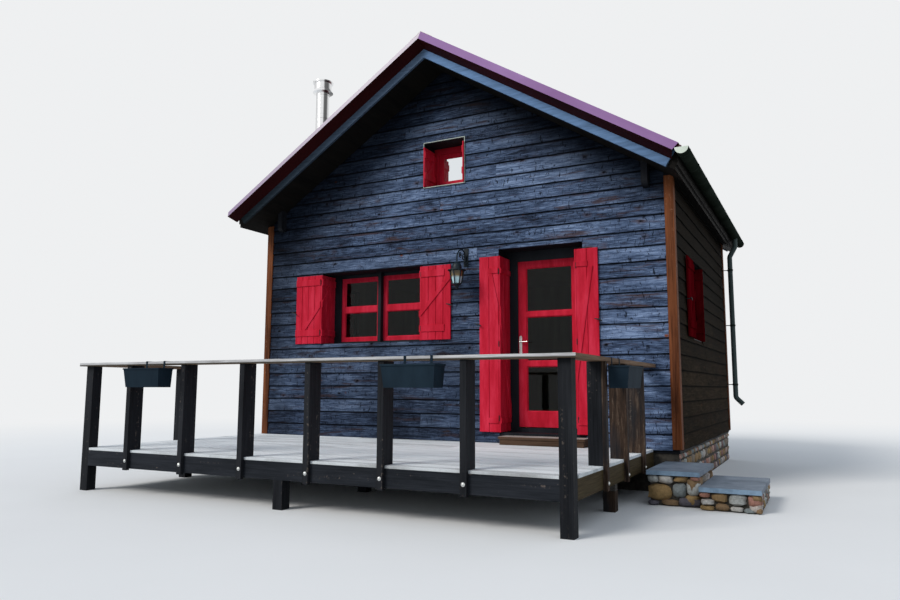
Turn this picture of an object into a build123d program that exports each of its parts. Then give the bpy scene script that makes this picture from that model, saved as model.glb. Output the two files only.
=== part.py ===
"""Wooden chalet: a timber house of one room and a loft, with a metal gable roof, folding
shutters, a glazed door that opens inwards, and a raised deck with a plank railing.

Millimetres, Z up. While it is modelled, X runs to the right along the front wall from the
gable's centre line, Y runs into the house from the front wall's outer face, and Z runs up from
the ground. At the end everything moves so that the origin lies under the middle of the whole.
"""
from build123d import *
import math
import os

JOINT_GAP = 0.5           # open joint between like pieces

# Base and floors
GROUND_Z = 0.0
DECK_TOP = 485.0          # walking surface of the deck
PLINTH_TOP = 440.0
PLINTH_THICK = 450.0
PLINTH_INSET = 15.0       # the cladding drips past the masonry
FLOOR_THICK = 175.0
FLOOR_TOP = PLINTH_TOP + FLOOR_THICK
LOFT_FLOOR_BOTTOM = 3085.0
LOFT_FLOOR_THICK = 200.0

# Walls
HOUSE_WIDTH = 6150.0
HOUSE_LENGTH = 4590.0
WALL_THICK = 360.0
HALF_WIDTH = HOUSE_WIDTH / 2
CORNER_BOARD_WIDTH = 107.0
CORNER_BOARD_THICK = 32.0
CORNER_BOARD_BOTTOM = 485.0

# Roof
ROOF_PITCH = 32.2         # degrees
RIDGE_TOP = 5940.0        # top of the metal's ribs at the ridge
EAVE_OVERHANG = 150.0     # of the panels, past the side walls
PANEL_THICK = 220.0
ROOF_OVERHANG = 525.0     # of the panels, past the front and back walls
RIB_HEIGHT = 35.0
RIB_PITCH = 250.0
RIB_TOP_WIDTH = 30.0
RIB_FOOT_WIDTH = 70.0
SHEET_THICK = 3.0
SHEET_PAST = 92.0         # the metal runs past the panels at the verges
SHEET_DRIPS = (105.0, 85.0)     # and past their plumb cuts, left and right
FASCIA_THICK = 25.0
FASCIA_HEIGHT = 190.0
BARGE_THICK = 35.0
BARGE_TOP = 70.0          # depth of its upper edge under the ribs
BARGE_BOTTOM = 272.0      # depth of its lower edge under the ribs
BARGE_DRIP = 43.0         # it runs past the panel's plumb cut
FLASH_THICK = 4.0
FLASH_REACH = 165.0       # the flashing's nose stands this far before the bargeboard
FLASH_SHOULDER = 106.0    # depth of the nose, the fold under the bevel
FLASH_BOTTOM = 173.0      # depth at which it comes back to the bargeboard
FLASH_BEVEL = 70.0        # run of the bevel
FLASH_DRIPS = (125.0, 62.0)     # past the panels' plumb cuts, left and right
FLASH_FLANGE = 70.0       # lies on the ribs
RIDGE_CAP_WING = 200.0
PLATE_WIDTH = 76.0
PLATE_INSET = 282.0       # from the side wall's outer face to the plate's middle
PLATE_DEPTH = 313.73428   # at its inner side, under the roof panel
PLATE_OVERHANG = 130.0
PLATE_NOSE = 60.0         # radius of the rounded end
RIDGE_BEAM_WIDTH = 120.0
RIDGE_BEAM_DEPTH = 220.0
RIDGE_BEAM_INSET = 30.0   # its ends lie this far behind the end walls' faces

# Rainwater and flue
GUTTER_WIDTH = 150.0
GUTTER_THICK = 3.0
GUTTER_LENGTHS = 4
GUTTER_DROP = 102.0       # under the rib tops at the panel's plumb cut
GUTTER_BACK = 25.0        # its ends lie this far behind the flashings' noses
PIPE_DIAMETER = 80.0
PIPE_WALL = 3.0
PIPE_STAND_OFF = 155.0    # pipe's axis from the wall
PIPE_BACK_DISTANCE = 140.0
SWAN_DROP = 207.0         # from the gutter's top to the swan neck
SWAN_HEIGHT = 170.0
PIPE_BOTTOM = 1035.0
PIPE_SHOE = 110.0
FLUE_FROM_WALL = 205.0    # axis from the left wall's inner face
FLUE_Y = 500.0
FLUE_DIAMETER = 210.0
FLUE_WALL = 25.0          # insulated double wall
FLUE_TOP = 5980.0
FLUE_TAIL = 260.0         # length that shows under the roof panel
COWL_BAND_DIAMETER = 277.0
COWL_DISC_DIAMETER = 330.0
COWL_FLARE = 66.0         # heights of the flared ring, the band and the cone
COWL_BAND = 110.0
COWL_DISC = 56.0
COWL_LIP = 13.0           # rise of the ring's underside
COWL_RIM = 17.0           # upright edge of the cone
COWL_WALL = 4.0

# Openings in the cladding, all heights above the ground
WINDOW_X = (-2030.0, -310.0)
WINDOW_HEIGHT = 1050.0
WINDOW_DROP = 128.0       # from the door head down to the windows' heads
SIDE_WINDOW_Y = (1150.0, 1950.0)
LOFT_X = (-286.0, 344.0)
LOFT_Z = (3980.0, 4618.0)
DOOR_X = (844.0, 1984.0)
DOOR_HEAD = 3000.0
FRAME_FACE = 285.0        # depth of the fixed frames' front faces
SASH_FACE = 300.0
SASH_THICK = 45.0
FRAME_POST = 140.0
FRAME_MULLION = 50.0
MULLION_FRONT = 60.0      # it stands this far before the frame's face
FRAME_HEAD = 45.0
LOFT_FRAME_POST = 75.0
LOFT_FRAME_HEAD = 90.0
SASH_STILE = 58.0
SASH_BAR = 86.0
LOFT_SASH_STILE = 52.0
GLASS_THICK = 6.0

# Shutters
BOARD_THICK = 20.0
LEDGE_THICK = 13.0
WINDOW_LEDGES = (112.0, 153.0, 95.0)    # rise of the lower ledge, drop to the upper
DOOR_LEDGES = (112.0, 228.0, 70.0)      # ledge's lower edge, and the ledges' width
BRACE_WIDTH = 55.0
LEFT_BRACE = (0.01, 0.57, 0.98)     # parts of the height at the outer edge, fold and frame
RIGHT_BRACE = (0.84, 0.36, 0.01)
DOOR_LEFT_BRACE = (1.23, 0.66, 0.10)
DOOR_RIGHT_BRACE = (1.15, 0.36, 0.06)
LOFT_BRACE = (0.10, 0.10, 0.90)
SHUTTER_STAND_OFF = 30.0  # back of the flat leaf from the wall, over the cladding
OUTER_LEAF = 460.0
SHUTTER_CLEAR = (8.0, 20.0)         # over the opening's foot and under its head
LOFT_SHUTTER_CLEAR = (8.0, 60.0)
DOOR_OUTER_LEAF = 280.0
DOOR_SHUTTER_INSET = (14.0, 80.0)
DOOR_SHUTTER_CLEAR = (5.0, 95.0)    # over the tread and under the head

# Entrance door
DOOR_GAP = 5.0
DOOR_LEAF_X = (981.0, 1861.0)
DOOR_LEAF_CLEAR = (10.0, 124.0)     # over the threshold and under the head
DOOR_THICK = 50.0
DOOR_STILE = 121.0
DOOR_TOP_RAIL = 101.0
DOOR_RAIL = 62.0
DOOR_BOTTOM_RAIL = 197.0
DOOR_SILL_RISE = 53.0     # of the threshold over the floor
STOP_LAP = 12.0           # of the stop over the leaf's edge
HINGE_RADIUS = 9.0
HINGE_OFFSET = 9.5        # pin beyond the leaf's inner face
HINGE_LENGTH = 110.0
HINGE_HEIGHTS = (230.0, 1100.0, 1970.0)
HINGE_WING = 45.0         # width of a hinge's plate from the pin
HINGE_PLATE = 3.0
HINGE_GAP = 0.3           # between the knuckles
HANDLE_HEIGHT = 1174.0    # of the lever over the floor
HANDLE_SET = 42.0         # lever's axis from the leaf's edge
HANDLE_PLATE = (38.0, 6.0)      # width and thickness
HANDLE_PLATE_ENDS = (160.0, 80.0)   # below and above the lever
LEVER_LENGTH = 120.0
LEVER_RADIUS = 9.0
LEVER_REACH = 48.0

# Deck
DECK_PAST_LEFT = 68.0     # past the house's left wall
DECK_SHORT_RIGHT = 294.0  # short of the house's right wall
DECK_DEPTH = 3013.0
DECK_BOARD = 28.0
RIM_BOTTOM = 283.0
RIM_THICK = 45.0
JOIST_DEPTH = 140.0
JOIST_COUNT = 10
BEARER_DEPTH = 120.0
BEARER_THICK = 90.0
CORNER_POST = 115.0
FRONT_LEG_X = -265.0
LEG_ROW_Y = -1550.0
RAIL_RISE = 976.0
RAIL_THICK = 38.0
RAIL_WIDTH = 175.0
RAIL_OVERHANG = 17.0
PLANK_THICK = 63.0
PLANK_DEPTH = 175.0
TONGUE_THICK = 40.0
TONGUE_BOTTOM = 268.0
FRONT_POST_FIRST = -2360.0
FRONT_POST_STEP = 838.0
FRONT_POST_COUNT = 6
RIGHT_POST_FIRST = -2115.0
RIGHT_POST_STEP = 748.0
RIGHT_POST_COUNT = 3
LEFT_POST_Y = -1620.0
DOOR_STEP_X = (950.0, 2050.0)
DOOR_STEP_DEPTH = 280.0
DOOR_STEP_HEIGHT = 100.0
DOOR_STEP_TREAD = 30.0
DOOR_STEP_NOSE = 15.0     # the tread past the riser

# Planters and lantern
PLANTER_LENGTH = 545.0
PLANTER_WIDTH = 190.0
PLANTER_HEIGHT = 205.0
PLANTER_TAPER = 22.0
PLANTER_WALL = 5.0
PLANTER_DROP = 76.0       # of the rim under the handrail's top
PLANTER_SOIL = 40.0       # soil lies this far under the rim
HANGER_WIDTH = 25.0
HANGER_THICK = 4.0
FRONT_PLANTERS = (-1925.0, 1395.0)
RIGHT_PLANTER = -1850.0
LANTERN_X = 372.0
LANTERN_REACH = 300.0     # lamp's axis from the wall
LANTERN_PLATE = (70.0, -202.0, 50.0)        # width, and foot and head over the door head
LANTERN_BAR = 16.0
LANTERN_DROPS = (538.0, 288.0, 175.0)       # from the door head to foot, brim and top
LANTERN_CAGE = (62.0, 100.0)                # radii of its foot and under the brim
LANTERN_ROOF = (128.0, 20.0)                # radii of the brim and the top

# Stone steps at the deck's right side
STEP_GAP = 124.0          # between the deck's right edge and the upper slab
STEP_WIDTHS = (525.0, 570.0)
STEP_FRONTS = (-1000.0, -1100.0)
SLAB_TOPS = (350.0, 222.0)
SLAB_THICK = 45.0

RAIL_TOP = DECK_TOP + RAIL_RISE
PLANTER_TOP = RAIL_TOP - PLANTER_DROP
DECK_LEFT = -HALF_WIDTH - DECK_PAST_LEFT
DECK_RIGHT = HALF_WIDTH - DECK_SHORT_RIGHT
EAVE_HALF_WIDTH = HALF_WIDTH + EAVE_OVERHANG
PLATE_CENTRE = HALF_WIDTH - PLATE_INSET
FLUE_X = WALL_THICK + FLUE_FROM_WALL - HALF_WIDTH
WINDOW_Z = (DOOR_HEAD - WINDOW_DROP - WINDOW_HEIGHT, DOOR_HEAD - WINDOW_DROP)
DOOR_SILL_TOP = FLOOR_TOP + DOOR_SILL_RISE
STEP_LEFT = DECK_RIGHT + STEP_GAP
STEP_EDGES = (STEP_LEFT, STEP_LEFT + STEP_WIDTHS[0], STEP_LEFT + sum(STEP_WIDTHS))
DOOR_LEAF_Z = (DOOR_SILL_TOP + DOOR_LEAF_CLEAR[0], DOOR_HEAD - DOOR_LEAF_CLEAR[1])
DOOR_SHUTTER_Z = (FLOOR_TOP + DOOR_SHUTTER_CLEAR[0], DOOR_HEAD - DOOR_SHUTTER_CLEAR[1])

PITCH = math.radians(ROOF_PITCH)
TAN = math.tan(PITCH)
COS = math.cos(PITCH)


def block(x0, x1, y0, y1, z0, z1):
    """Box between two corners."""
    return Pos((x0 + x1) / 2, (y0 + y1) / 2, (z0 + z1) / 2) * Box(x1 - x0, y1 - y0, z1 - z0)


def prism(points, y0, y1):
    """Outline of (x, z) points carried along Y."""
    outline = Polyline(*[(x, y0, z) for x, z in points], close=True)
    return extrude(make_face(outline), amount=y1 - y0, dir=(0, 1, 0))


def prism_x(points, x0, x1):
    """Outline of (y, z) points carried along X."""
    outline = Polyline(*[(x0, y, z) for y, z in points], close=True)
    return extrude(make_face(outline), amount=x1 - x0, dir=(1, 0, 0))


def mirrored(shape):
    """The same piece on the other side of the gable's centre line."""
    return mirror(shape, about=Plane.YZ)


def both_sides(shape):
    """A piece and its mirror image."""
    return [shape, mirrored(shape)]


def under_ribs(x, depth):
    """Height of a surface that lies a square depth under the roof's rib tops, at x."""
    return RIDGE_TOP - depth / COS - abs(x) * TAN


def right_half(shape, y0, y1):
    """What is left of a roof piece on the right of the plumb cut at the ridge."""
    return shape & block(JOINT_GAP / 2, 2 * HALF_WIDTH, y0 - 1, y1 + 1, 0, 2 * RIDGE_TOP)


# Masonry and floors

def make_plinth():
    """Ring of masonry under the walls, from the ground up."""
    inset = PLINTH_INSET
    outer = block(-HALF_WIDTH + inset, HALF_WIDTH - inset, inset, HOUSE_LENGTH - inset,
                  GROUND_Z, PLINTH_TOP)
    t = PLINTH_THICK
    return outer - block(-HALF_WIDTH + t, HALF_WIDTH - t, t, HOUSE_LENGTH - t,
                         GROUND_Z - 1, PLINTH_TOP + 1)


def room_box(z0, z1):
    """The space between the walls, over a height."""
    return block(-HALF_WIDTH + WALL_THICK, HALF_WIDTH - WALL_THICK,
                 WALL_THICK, HOUSE_LENGTH - WALL_THICK, z0, z1)


# Walls

PANEL_SOFFIT = RIB_HEIGHT + PANEL_THICK


def gable_outline(z0):
    """Outline of an end wall from a height up to the roof panels."""
    eave = under_ribs(HALF_WIDTH, PANEL_SOFFIT)
    return [(-HALF_WIDTH, z0), (HALF_WIDTH, z0), (HALF_WIDTH, eave),
            (0, under_ribs(0, PANEL_SOFFIT)), (-HALF_WIDTH, eave)]


def wall_plate():
    """Right wall plate: a beam along the wall top whose ends are rounded below."""
    x0 = PLATE_CENTRE - PLATE_WIDTH / 2
    x1 = PLATE_CENTRE + PLATE_WIDTH / 2
    y0 = -PLATE_OVERHANG
    y1 = HOUSE_LENGTH + PLATE_OVERHANG
    top = under_ribs(x0, PANEL_SOFFIT)
    beam = block(x0, x1, y0, y1, top - PLATE_DEPTH, top)
    noses = beam.edges().filter_by(Axis.X).group_by(Axis.Z)[0]
    beam = fillet(noses, PLATE_NOSE)
    corner = under_ribs(x1, PANEL_SOFFIT)
    above = [(x0, top), (x1, corner), (x1, top + 1), (x0, top + 1)]
    return beam - prism(above, y0 - 1, y1 + 1)


def ridge_beam():
    """Ridge beam, five-sided, tight under the two roof panels."""
    half = RIDGE_BEAM_WIDTH / 2
    side = under_ribs(half, PANEL_SOFFIT)
    bottom = side - RIDGE_BEAM_DEPTH
    outline = [(-half, bottom), (half, bottom), (half, side), (0, under_ribs(0, PANEL_SOFFIT)),
               (-half, side)]
    return prism(outline, RIDGE_BEAM_INSET, HOUSE_LENGTH - RIDGE_BEAM_INSET)


def hole(x_range, z_range):
    """Cutter for an opening through the front wall."""
    return block(*x_range, -1, WALL_THICK + 1, *z_range)


def side_place(shape):
    """Moves a piece made at the front wall, with its place along X, to the right wall."""
    return Pos(HALF_WIDTH, 0, 0) * Rot(0, 0, 90) * shape


def make_walls():
    """Walls by name, each cut for its openings and for the beams that pass through."""
    beams = [*both_sides(wall_plate()), ridge_beam()]
    eave = under_ribs(HALF_WIDTH, PANEL_SOFFIT)
    inner = HALF_WIDTH - WALL_THICK
    side_outline = [(inner, PLINTH_TOP), (HALF_WIDTH, PLINTH_TOP), (HALF_WIDTH, eave),
                    (inner, under_ribs(inner, PANEL_SOFFIT))]
    right = prism(side_outline, WALL_THICK, HOUSE_LENGTH - WALL_THICK)
    right -= side_place(hole(SIDE_WINDOW_Y, WINDOW_Z))
    back = prism(gable_outline(PLINTH_TOP), HOUSE_LENGTH - WALL_THICK, HOUSE_LENGTH)
    gable = prism(gable_outline(DOOR_HEAD), 0, WALL_THICK) - hole(LOFT_X, LOFT_Z)
    walls = {
        "front_wall_left": block(-HALF_WIDTH, DOOR_X[0], 0, WALL_THICK, PLINTH_TOP, DOOR_HEAD)
        - hole(WINDOW_X, WINDOW_Z),
        "front_wall_right": block(DOOR_X[1], HALF_WIDTH, 0, WALL_THICK, PLINTH_TOP, DOOR_HEAD),
        "front_gable": gable,
        "back_wall": back,
        "right_wall": right,
        "left_wall": mirrored(right),
    }
    for name in ("front_gable", "back_wall", "right_wall", "left_wall"):
        for beam in beams:
            walls[name] -= beam
    return walls


def make_corner_boards():
    """Two boards set at a right angle on each corner, up to the roof panels."""
    t = CORNER_BOARD_THICK
    w = CORNER_BOARD_WIDTH
    x1 = HALF_WIDTH + t
    z1 = under_ribs(HALF_WIDTH, PANEL_SOFFIT)
    tall = block(x1 - w, x1, -t, w - t, CORNER_BOARD_BOTTOM, z1)
    inside = block(x1 - w - 1, HALF_WIDTH, 0, w, 0, RIDGE_TOP)
    roof = prism([(0, under_ribs(0, PANEL_SOFFIT)), (2 * HALF_WIDTH,
                  under_ribs(2 * HALF_WIDTH, PANEL_SOFFIT)), (2 * HALF_WIDTH, RIDGE_TOP),
                  (0, RIDGE_TOP)], -2 * t, w)
    front = tall - inside - roof
    back = mirror(front, about=Plane.XZ.offset(-HOUSE_LENGTH / 2))
    return both_sides(front) + both_sides(back)


# Roof

def panel_outline():
    """Right roof panel, plumb cut at the ridge and at the eave."""
    x0 = JOINT_GAP / 2
    x1 = EAVE_HALF_WIDTH
    return [(x0, under_ribs(x0, RIB_HEIGHT)), (x1, under_ribs(x1, RIB_HEIGHT)),
            (x1, under_ribs(x1, PANEL_SOFFIT)), (x0, under_ribs(x0, PANEL_SOFFIT))]


def flue_cut():
    """Cutter for the flue's hole through the roof."""
    return Pos(FLUE_X, FLUE_Y, FLUE_TOP / 2) * Cylinder(FLUE_DIAMETER / 2, FLUE_TOP)


def make_sheet(drip):
    """Ribbed metal of the right side: a pan with trapezoid ribs that run down the slope."""
    y0 = -ROOF_OVERHANG - SHEET_PAST
    y1 = HOUSE_LENGTH - y0
    count = int((y1 - y0 - RIB_FOOT_WIDTH) // RIB_PITCH) + 1
    first = (y0 + y1) / 2 - (count - 1) / 2 * RIB_PITCH
    foot = RIB_FOOT_WIDTH / 2
    crown = RIB_TOP_WIDTH / 2
    pan = -RIB_HEIGHT + SHEET_THICK
    top = [(y0, pan)]
    for i in range(count):
        y = first + i * RIB_PITCH
        top += [(y - foot, pan), (y - crown, 0), (y + crown, 0), (y + foot, pan)]
    top.append((y1, pan))
    bottom = [(y, n - SHEET_THICK) for y, n in reversed(top)]
    length = (EAVE_HALF_WIDTH + drip) / COS
    start = -RIB_HEIGHT
    outline = Polyline(*[(start, y, n) for y, n in top + bottom], close=True)
    flat = extrude(make_face(outline), amount=length - start, dir=(1, 0, 0))
    sheet = Pos(0, 0, RIDGE_TOP) * Rot(0, ROOF_PITCH, 0) * flat
    return right_half(sheet, y0, y1)


def slope_strip(outline, length):
    """Outline of (y, depth) points carried down the right slope from the ridge."""
    start = -FLASH_BOTTOM - BARGE_BOTTOM
    wire = Polyline(*[(start, y, -depth) for y, depth in outline], close=True)
    flat = extrude(make_face(wire), amount=length - start, dir=(1, 0, 0))
    placed = Pos(0, 0, RIDGE_TOP) * Rot(0, ROOF_PITCH, 0) * flat
    return right_half(placed, -2 * ROOF_OVERHANG, HOUSE_LENGTH + 2 * ROOF_OVERHANG)


BARGE_FACE = -ROOF_OVERHANG - BARGE_THICK
FLASH_NOSE = BARGE_FACE - FLASH_REACH
FLASH_TOP = FLASH_NOSE + FLASH_BEVEL


def make_bargeboards():
    """Boards along the verges, square cut at the eaves and plumb cut at the ridge."""
    outline = [(BARGE_FACE, BARGE_TOP), (-ROOF_OVERHANG, BARGE_TOP),
               (-ROOF_OVERHANG, BARGE_BOTTOM), (BARGE_FACE, BARGE_BOTTOM)]
    front = slope_strip(outline, (EAVE_HALF_WIDTH + BARGE_DRIP) / COS)
    back = mirror(front, about=Plane.XZ.offset(-HOUSE_LENGTH / 2))
    return both_sides(front) + both_sides(back)


def make_flashing(drip):
    """Right flashing of the front verge: flange on the ribs, bevel down to the nose, and an
    underside that comes back to the bargeboard."""
    t = FLASH_THICK
    y_end = FLASH_TOP + FLASH_FLANGE
    outline = [(y_end, -t), (FLASH_TOP, -t), (FLASH_NOSE, FLASH_SHOULDER),
               (BARGE_FACE, FLASH_BOTTOM), (BARGE_FACE, FLASH_BOTTOM - t),
               (FLASH_NOSE + 2 * t, FLASH_SHOULDER), (FLASH_TOP + t, 0), (y_end, 0)]
    return slope_strip(outline, (EAVE_HALF_WIDTH + drip) / COS)


def make_flashings():
    """Folded metal over the four verges; it runs further past the left eave."""
    left, right = FLASH_DRIPS
    front = [mirrored(make_flashing(left)), make_flashing(right)]
    middle = Plane.XZ.offset(-HOUSE_LENGTH / 2)
    return front + [mirror(shape, about=middle) for shape in front]


def make_ridge_cap():
    """Folded cap on the verge flashings, from one gable to the other."""
    low = -FLASH_THICK
    high = low - FLASH_THICK
    x1 = RIDGE_CAP_WING * COS
    outline = [(0, under_ribs(0, high)), (x1, under_ribs(x1, high)), (x1, under_ribs(x1, low)),
               (0, under_ribs(0, low)), (-x1, under_ribs(x1, low)), (-x1, under_ribs(x1, high))]
    return prism(outline, FLASH_TOP, HOUSE_LENGTH - FLASH_TOP)


def make_fascia():
    """Board on the plumb cut of the right roof panel, which carries the gutter."""
    x0 = EAVE_HALF_WIDTH
    x1 = x0 + FASCIA_THICK
    top = under_ribs(x1, RIB_HEIGHT)
    return block(x0, x1, -ROOF_OVERHANG, HOUSE_LENGTH + ROOF_OVERHANG, top - FASCIA_HEIGHT, top)


# Rainwater and flue

GUTTER_TOP = under_ribs(EAVE_HALF_WIDTH, 0) - GUTTER_DROP
GUTTER_CENTRE = EAVE_HALF_WIDTH + FASCIA_THICK + GUTTER_WIDTH / 2
GUTTER_Y = (FLASH_NOSE + GUTTER_BACK, HOUSE_LENGTH - FLASH_NOSE - GUTTER_BACK)
PIPE_X = HALF_WIDTH + PIPE_STAND_OFF
PIPE_Y = HOUSE_LENGTH - PIPE_BACK_DISTANCE


def gutter_rod(wall):
    """Round rod that fills the gutter's outline, or its inside a wall further in."""
    length = GUTTER_Y[1] - GUTTER_Y[0] - 2 * wall
    middle = (GUTTER_Y[0] + GUTTER_Y[1]) / 2
    rod = Rot(90, 0, 0) * Cylinder(GUTTER_WIDTH / 2 - wall, length)
    return Pos(GUTTER_CENTRE, middle, GUTTER_TOP) * rod


def make_gutter():
    """Half-round gutter at the right eave in equal lengths, with closed ends and an outlet."""
    upper = block(EAVE_HALF_WIDTH, GUTTER_CENTRE + GUTTER_WIDTH, GUTTER_Y[0] - 1,
                  GUTTER_Y[1] + 1, GUTTER_TOP, GUTTER_TOP + GUTTER_WIDTH)
    outlet = Pos(GUTTER_CENTRE, PIPE_Y, GUTTER_TOP - GUTTER_WIDTH / 2) * Cylinder(
        PIPE_DIAMETER / 2 - PIPE_WALL, GUTTER_WIDTH / 2)
    trough = gutter_rod(0) - gutter_rod(GUTTER_THICK) - upper - outlet
    step = (GUTTER_Y[1] - GUTTER_Y[0]) / GUTTER_LENGTHS
    for i in range(1, GUTTER_LENGTHS):
        joint = GUTTER_Y[0] + i * step
        trough -= block(EAVE_HALF_WIDTH, GUTTER_CENTRE + GUTTER_WIDTH, joint - JOINT_GAP / 2,
                        joint + JOINT_GAP / 2, GUTTER_TOP - GUTTER_WIDTH, GUTTER_TOP)
    return trough.solids()


def make_downpipe():
    """Swan neck, pipe and shoe in one run, cut to the gutter's round bottom."""
    top = GUTTER_TOP - GUTTER_WIDTH / 4
    swan = GUTTER_TOP - SWAN_DROP
    path = FilletPolyline((GUTTER_CENTRE, PIPE_Y, top), (GUTTER_CENTRE, PIPE_Y, swan),
                          (PIPE_X, PIPE_Y, swan - SWAN_HEIGHT), (PIPE_X, PIPE_Y, PIPE_BOTTOM),
                          (PIPE_X + PIPE_SHOE, PIPE_Y, PIPE_BOTTOM - PIPE_SHOE),
                          radius=PIPE_DIAMETER)
    section = Circle(PIPE_DIAMETER / 2) - Circle(PIPE_DIAMETER / 2 - PIPE_WALL)
    return sweep(Plane(path @ 0, z_dir=path % 0) * section, path=path) - gutter_rod(0)


def make_flue():
    """Insulated flue pipe through the left roof side."""
    bottom = under_ribs(FLUE_X, PANEL_SOFFIT) - FLUE_TAIL
    length = FLUE_TOP - bottom
    radius = FLUE_DIAMETER / 2
    pipe = Cylinder(radius, length) - Cylinder(radius - FLUE_WALL, length + 2)
    return Pos(FLUE_X, FLUE_Y, (bottom + FLUE_TOP) / 2) * pipe


def make_cowl():
    """Hollow cowl: flared ring, band and shallow cone on the flue's end."""
    r0 = FLUE_DIAMETER / 2
    r1 = COWL_DISC_DIAMETER / 2
    r2 = COWL_BAND_DIAMETER / 2
    z1 = COWL_FLARE
    z2 = z1 + COWL_BAND
    z3 = z2 + COWL_DISC
    outline = Polyline((0, 0, 0), (r0, 0, 0), (r1, 0, COWL_LIP), (r2, 0, z1), (r2, 0, z2),
                       (r1, 0, z2), (r1, 0, z2 + COWL_RIM), (0, 0, z3), close=True)
    inside = Pos(0, 0, (z1 + z2) / 2) * Cylinder(r2 - COWL_WALL, COWL_BAND)
    bore = Pos(0, 0, z1 / 2) * Cylinder(r0 - FLUE_WALL, z1 + 2)
    turned = revolve(make_face(outline), axis=Axis.Z)
    return Pos(FLUE_X, FLUE_Y, FLUE_TOP) * (turned - inside - bore)


# Windows, made for the front wall with their place along X

def window_frame(x_range, z_range, post, head, mullion):
    """Black fixed frame in a wall opening; its mullion, if any, stands proud of the posts."""
    x0, x1 = x_range
    z0, z1 = z_range
    frame = block(x0, x1, FRAME_FACE, WALL_THICK, z0, z1)
    for a, b in sash_spans(x_range, post, mullion):
        frame -= block(a, b, FRAME_FACE - 1, WALL_THICK + 1, z0 + head, z1 - head)
    if mullion:
        middle = (x0 + x1) / 2
        frame += block(middle - mullion / 2, middle + mullion / 2, FRAME_FACE - MULLION_FRONT,
                       FRAME_FACE, z0, z1)
    return frame


def sash_spans(x_range, post, mullion):
    """Left and right edges of each sash in a frame."""
    x0 = x_range[0] + post
    x1 = x_range[1] - post
    if not mullion:
        return [(x0, x1)]
    middle = (x0 + x1) / 2
    return [(x0, middle - mullion / 2), (middle + mullion / 2, x1)]


def sash(x_range, z_range, stile, bar):
    """Red sash and its panes; a bar of some width divides it in two."""
    x0, x1 = x_range
    z0, z1 = z_range
    panes = [(z0 + stile, z1 - stile)]
    if bar:
        middle = (z0 + z1) / 2
        panes = [(z0 + stile, middle - bar / 2), (middle + bar / 2, z1 - stile)]
    body = block(x0, x1, SASH_FACE, SASH_FACE + SASH_THICK, z0, z1)
    glass = []
    glass_y = SASH_FACE + SASH_THICK / 2 - GLASS_THICK / 2
    for low, high in panes:
        body -= block(x0 + stile, x1 - stile, SASH_FACE - 1, SASH_FACE + SASH_THICK + 1, low, high)
        glass.append(block(x0 + stile, x1 - stile, glass_y, glass_y + GLASS_THICK, low, high))
    return body, glass


def shutter_leaf(width, height, ledges, start, end):
    """Ledged and braced leaf in the XZ plane; its left bottom back corner is at the origin.

    The boards lie at y from -BOARD_THICK to 0 and the ledges and brace stand before them. The
    brace's middle line runs from one part of the height at the left edge to another at the
    right edge, and the brace stops at the ledges.
    """
    leaf = block(0, width, -BOARD_THICK, 0, 0, height)
    face = -BOARD_THICK - LEDGE_THICK
    rise, drop, ledge_width = ledges
    low = rise
    high = height - drop
    for z in (low, high):
        leaf += block(0, width, face, -BOARD_THICK, z, z + ledge_width)
    z0 = start * height
    z1 = end * height
    half = BRACE_WIDTH / 2 * math.hypot(width, z1 - z0) / width
    band = prism([(0, z0 - half), (0, z0 + half), (width, z1 + half), (width, z1 - half)],
                 face, -BOARD_THICK)
    between = block(0, width, face, -BOARD_THICK, low + ledge_width / 2, high + ledge_width / 2)
    return leaf + (band & between)


def folded_pair(edge, z_range, outer, ledges, brace):
    """Left pair of an opening: outer leaf flat on the cladding, inner leaf in the reveal."""
    height = z_range[1] - z_range[0]
    flat = Pos(edge - outer - JOINT_GAP, -SHUTTER_STAND_OFF, z_range[0]) * shutter_leaf(
        outer, height, ledges, brace[0], brace[1])
    depth = FRAME_FACE + SHUTTER_STAND_OFF + BOARD_THICK
    turned = Rot(0, 0, 90) * shutter_leaf(depth, height, ledges, brace[1], brace[2])
    inner = Pos(edge, -SHUTTER_STAND_OFF - BOARD_THICK, z_range[0]) * turned
    return [flat, inner]


def opposite(shape, x_range):
    """Mirror image about the middle of an opening."""
    middle = (x_range[0] + x_range[1]) / 2
    return mirror(shape, about=Plane.YZ.offset(middle))


def window_unit(x_range, z_range, mullion, right_leaves):
    """Frame, sashes, panes and leaves of a window with a folding pair at its left.

    At its right it has a pair too, or only the leaf in the reveal.
    """
    frame = window_frame(x_range, z_range, FRAME_POST, FRAME_HEAD, mullion)
    sashes = []
    panes = []
    for span in sash_spans(x_range, FRAME_POST, mullion):
        body, glass = sash(span, (z_range[0] + FRAME_HEAD, z_range[1] - FRAME_HEAD),
                           SASH_STILE, SASH_BAR)
        sashes.append(body)
        panes += glass
    leaf_z = (z_range[0] + SHUTTER_CLEAR[0], z_range[1] - SHUTTER_CLEAR[1])
    left = folded_pair(x_range[0], leaf_z, OUTER_LEAF, WINDOW_LEDGES, LEFT_BRACE)
    right = folded_pair(x_range[0], leaf_z, OUTER_LEAF, WINDOW_LEDGES, RIGHT_BRACE)
    far = [opposite(leaf, x_range) for leaf in right[-right_leaves:]]
    return {"frame": [frame], "sash": sashes, "pane": panes, "leaf": left + far}


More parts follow.
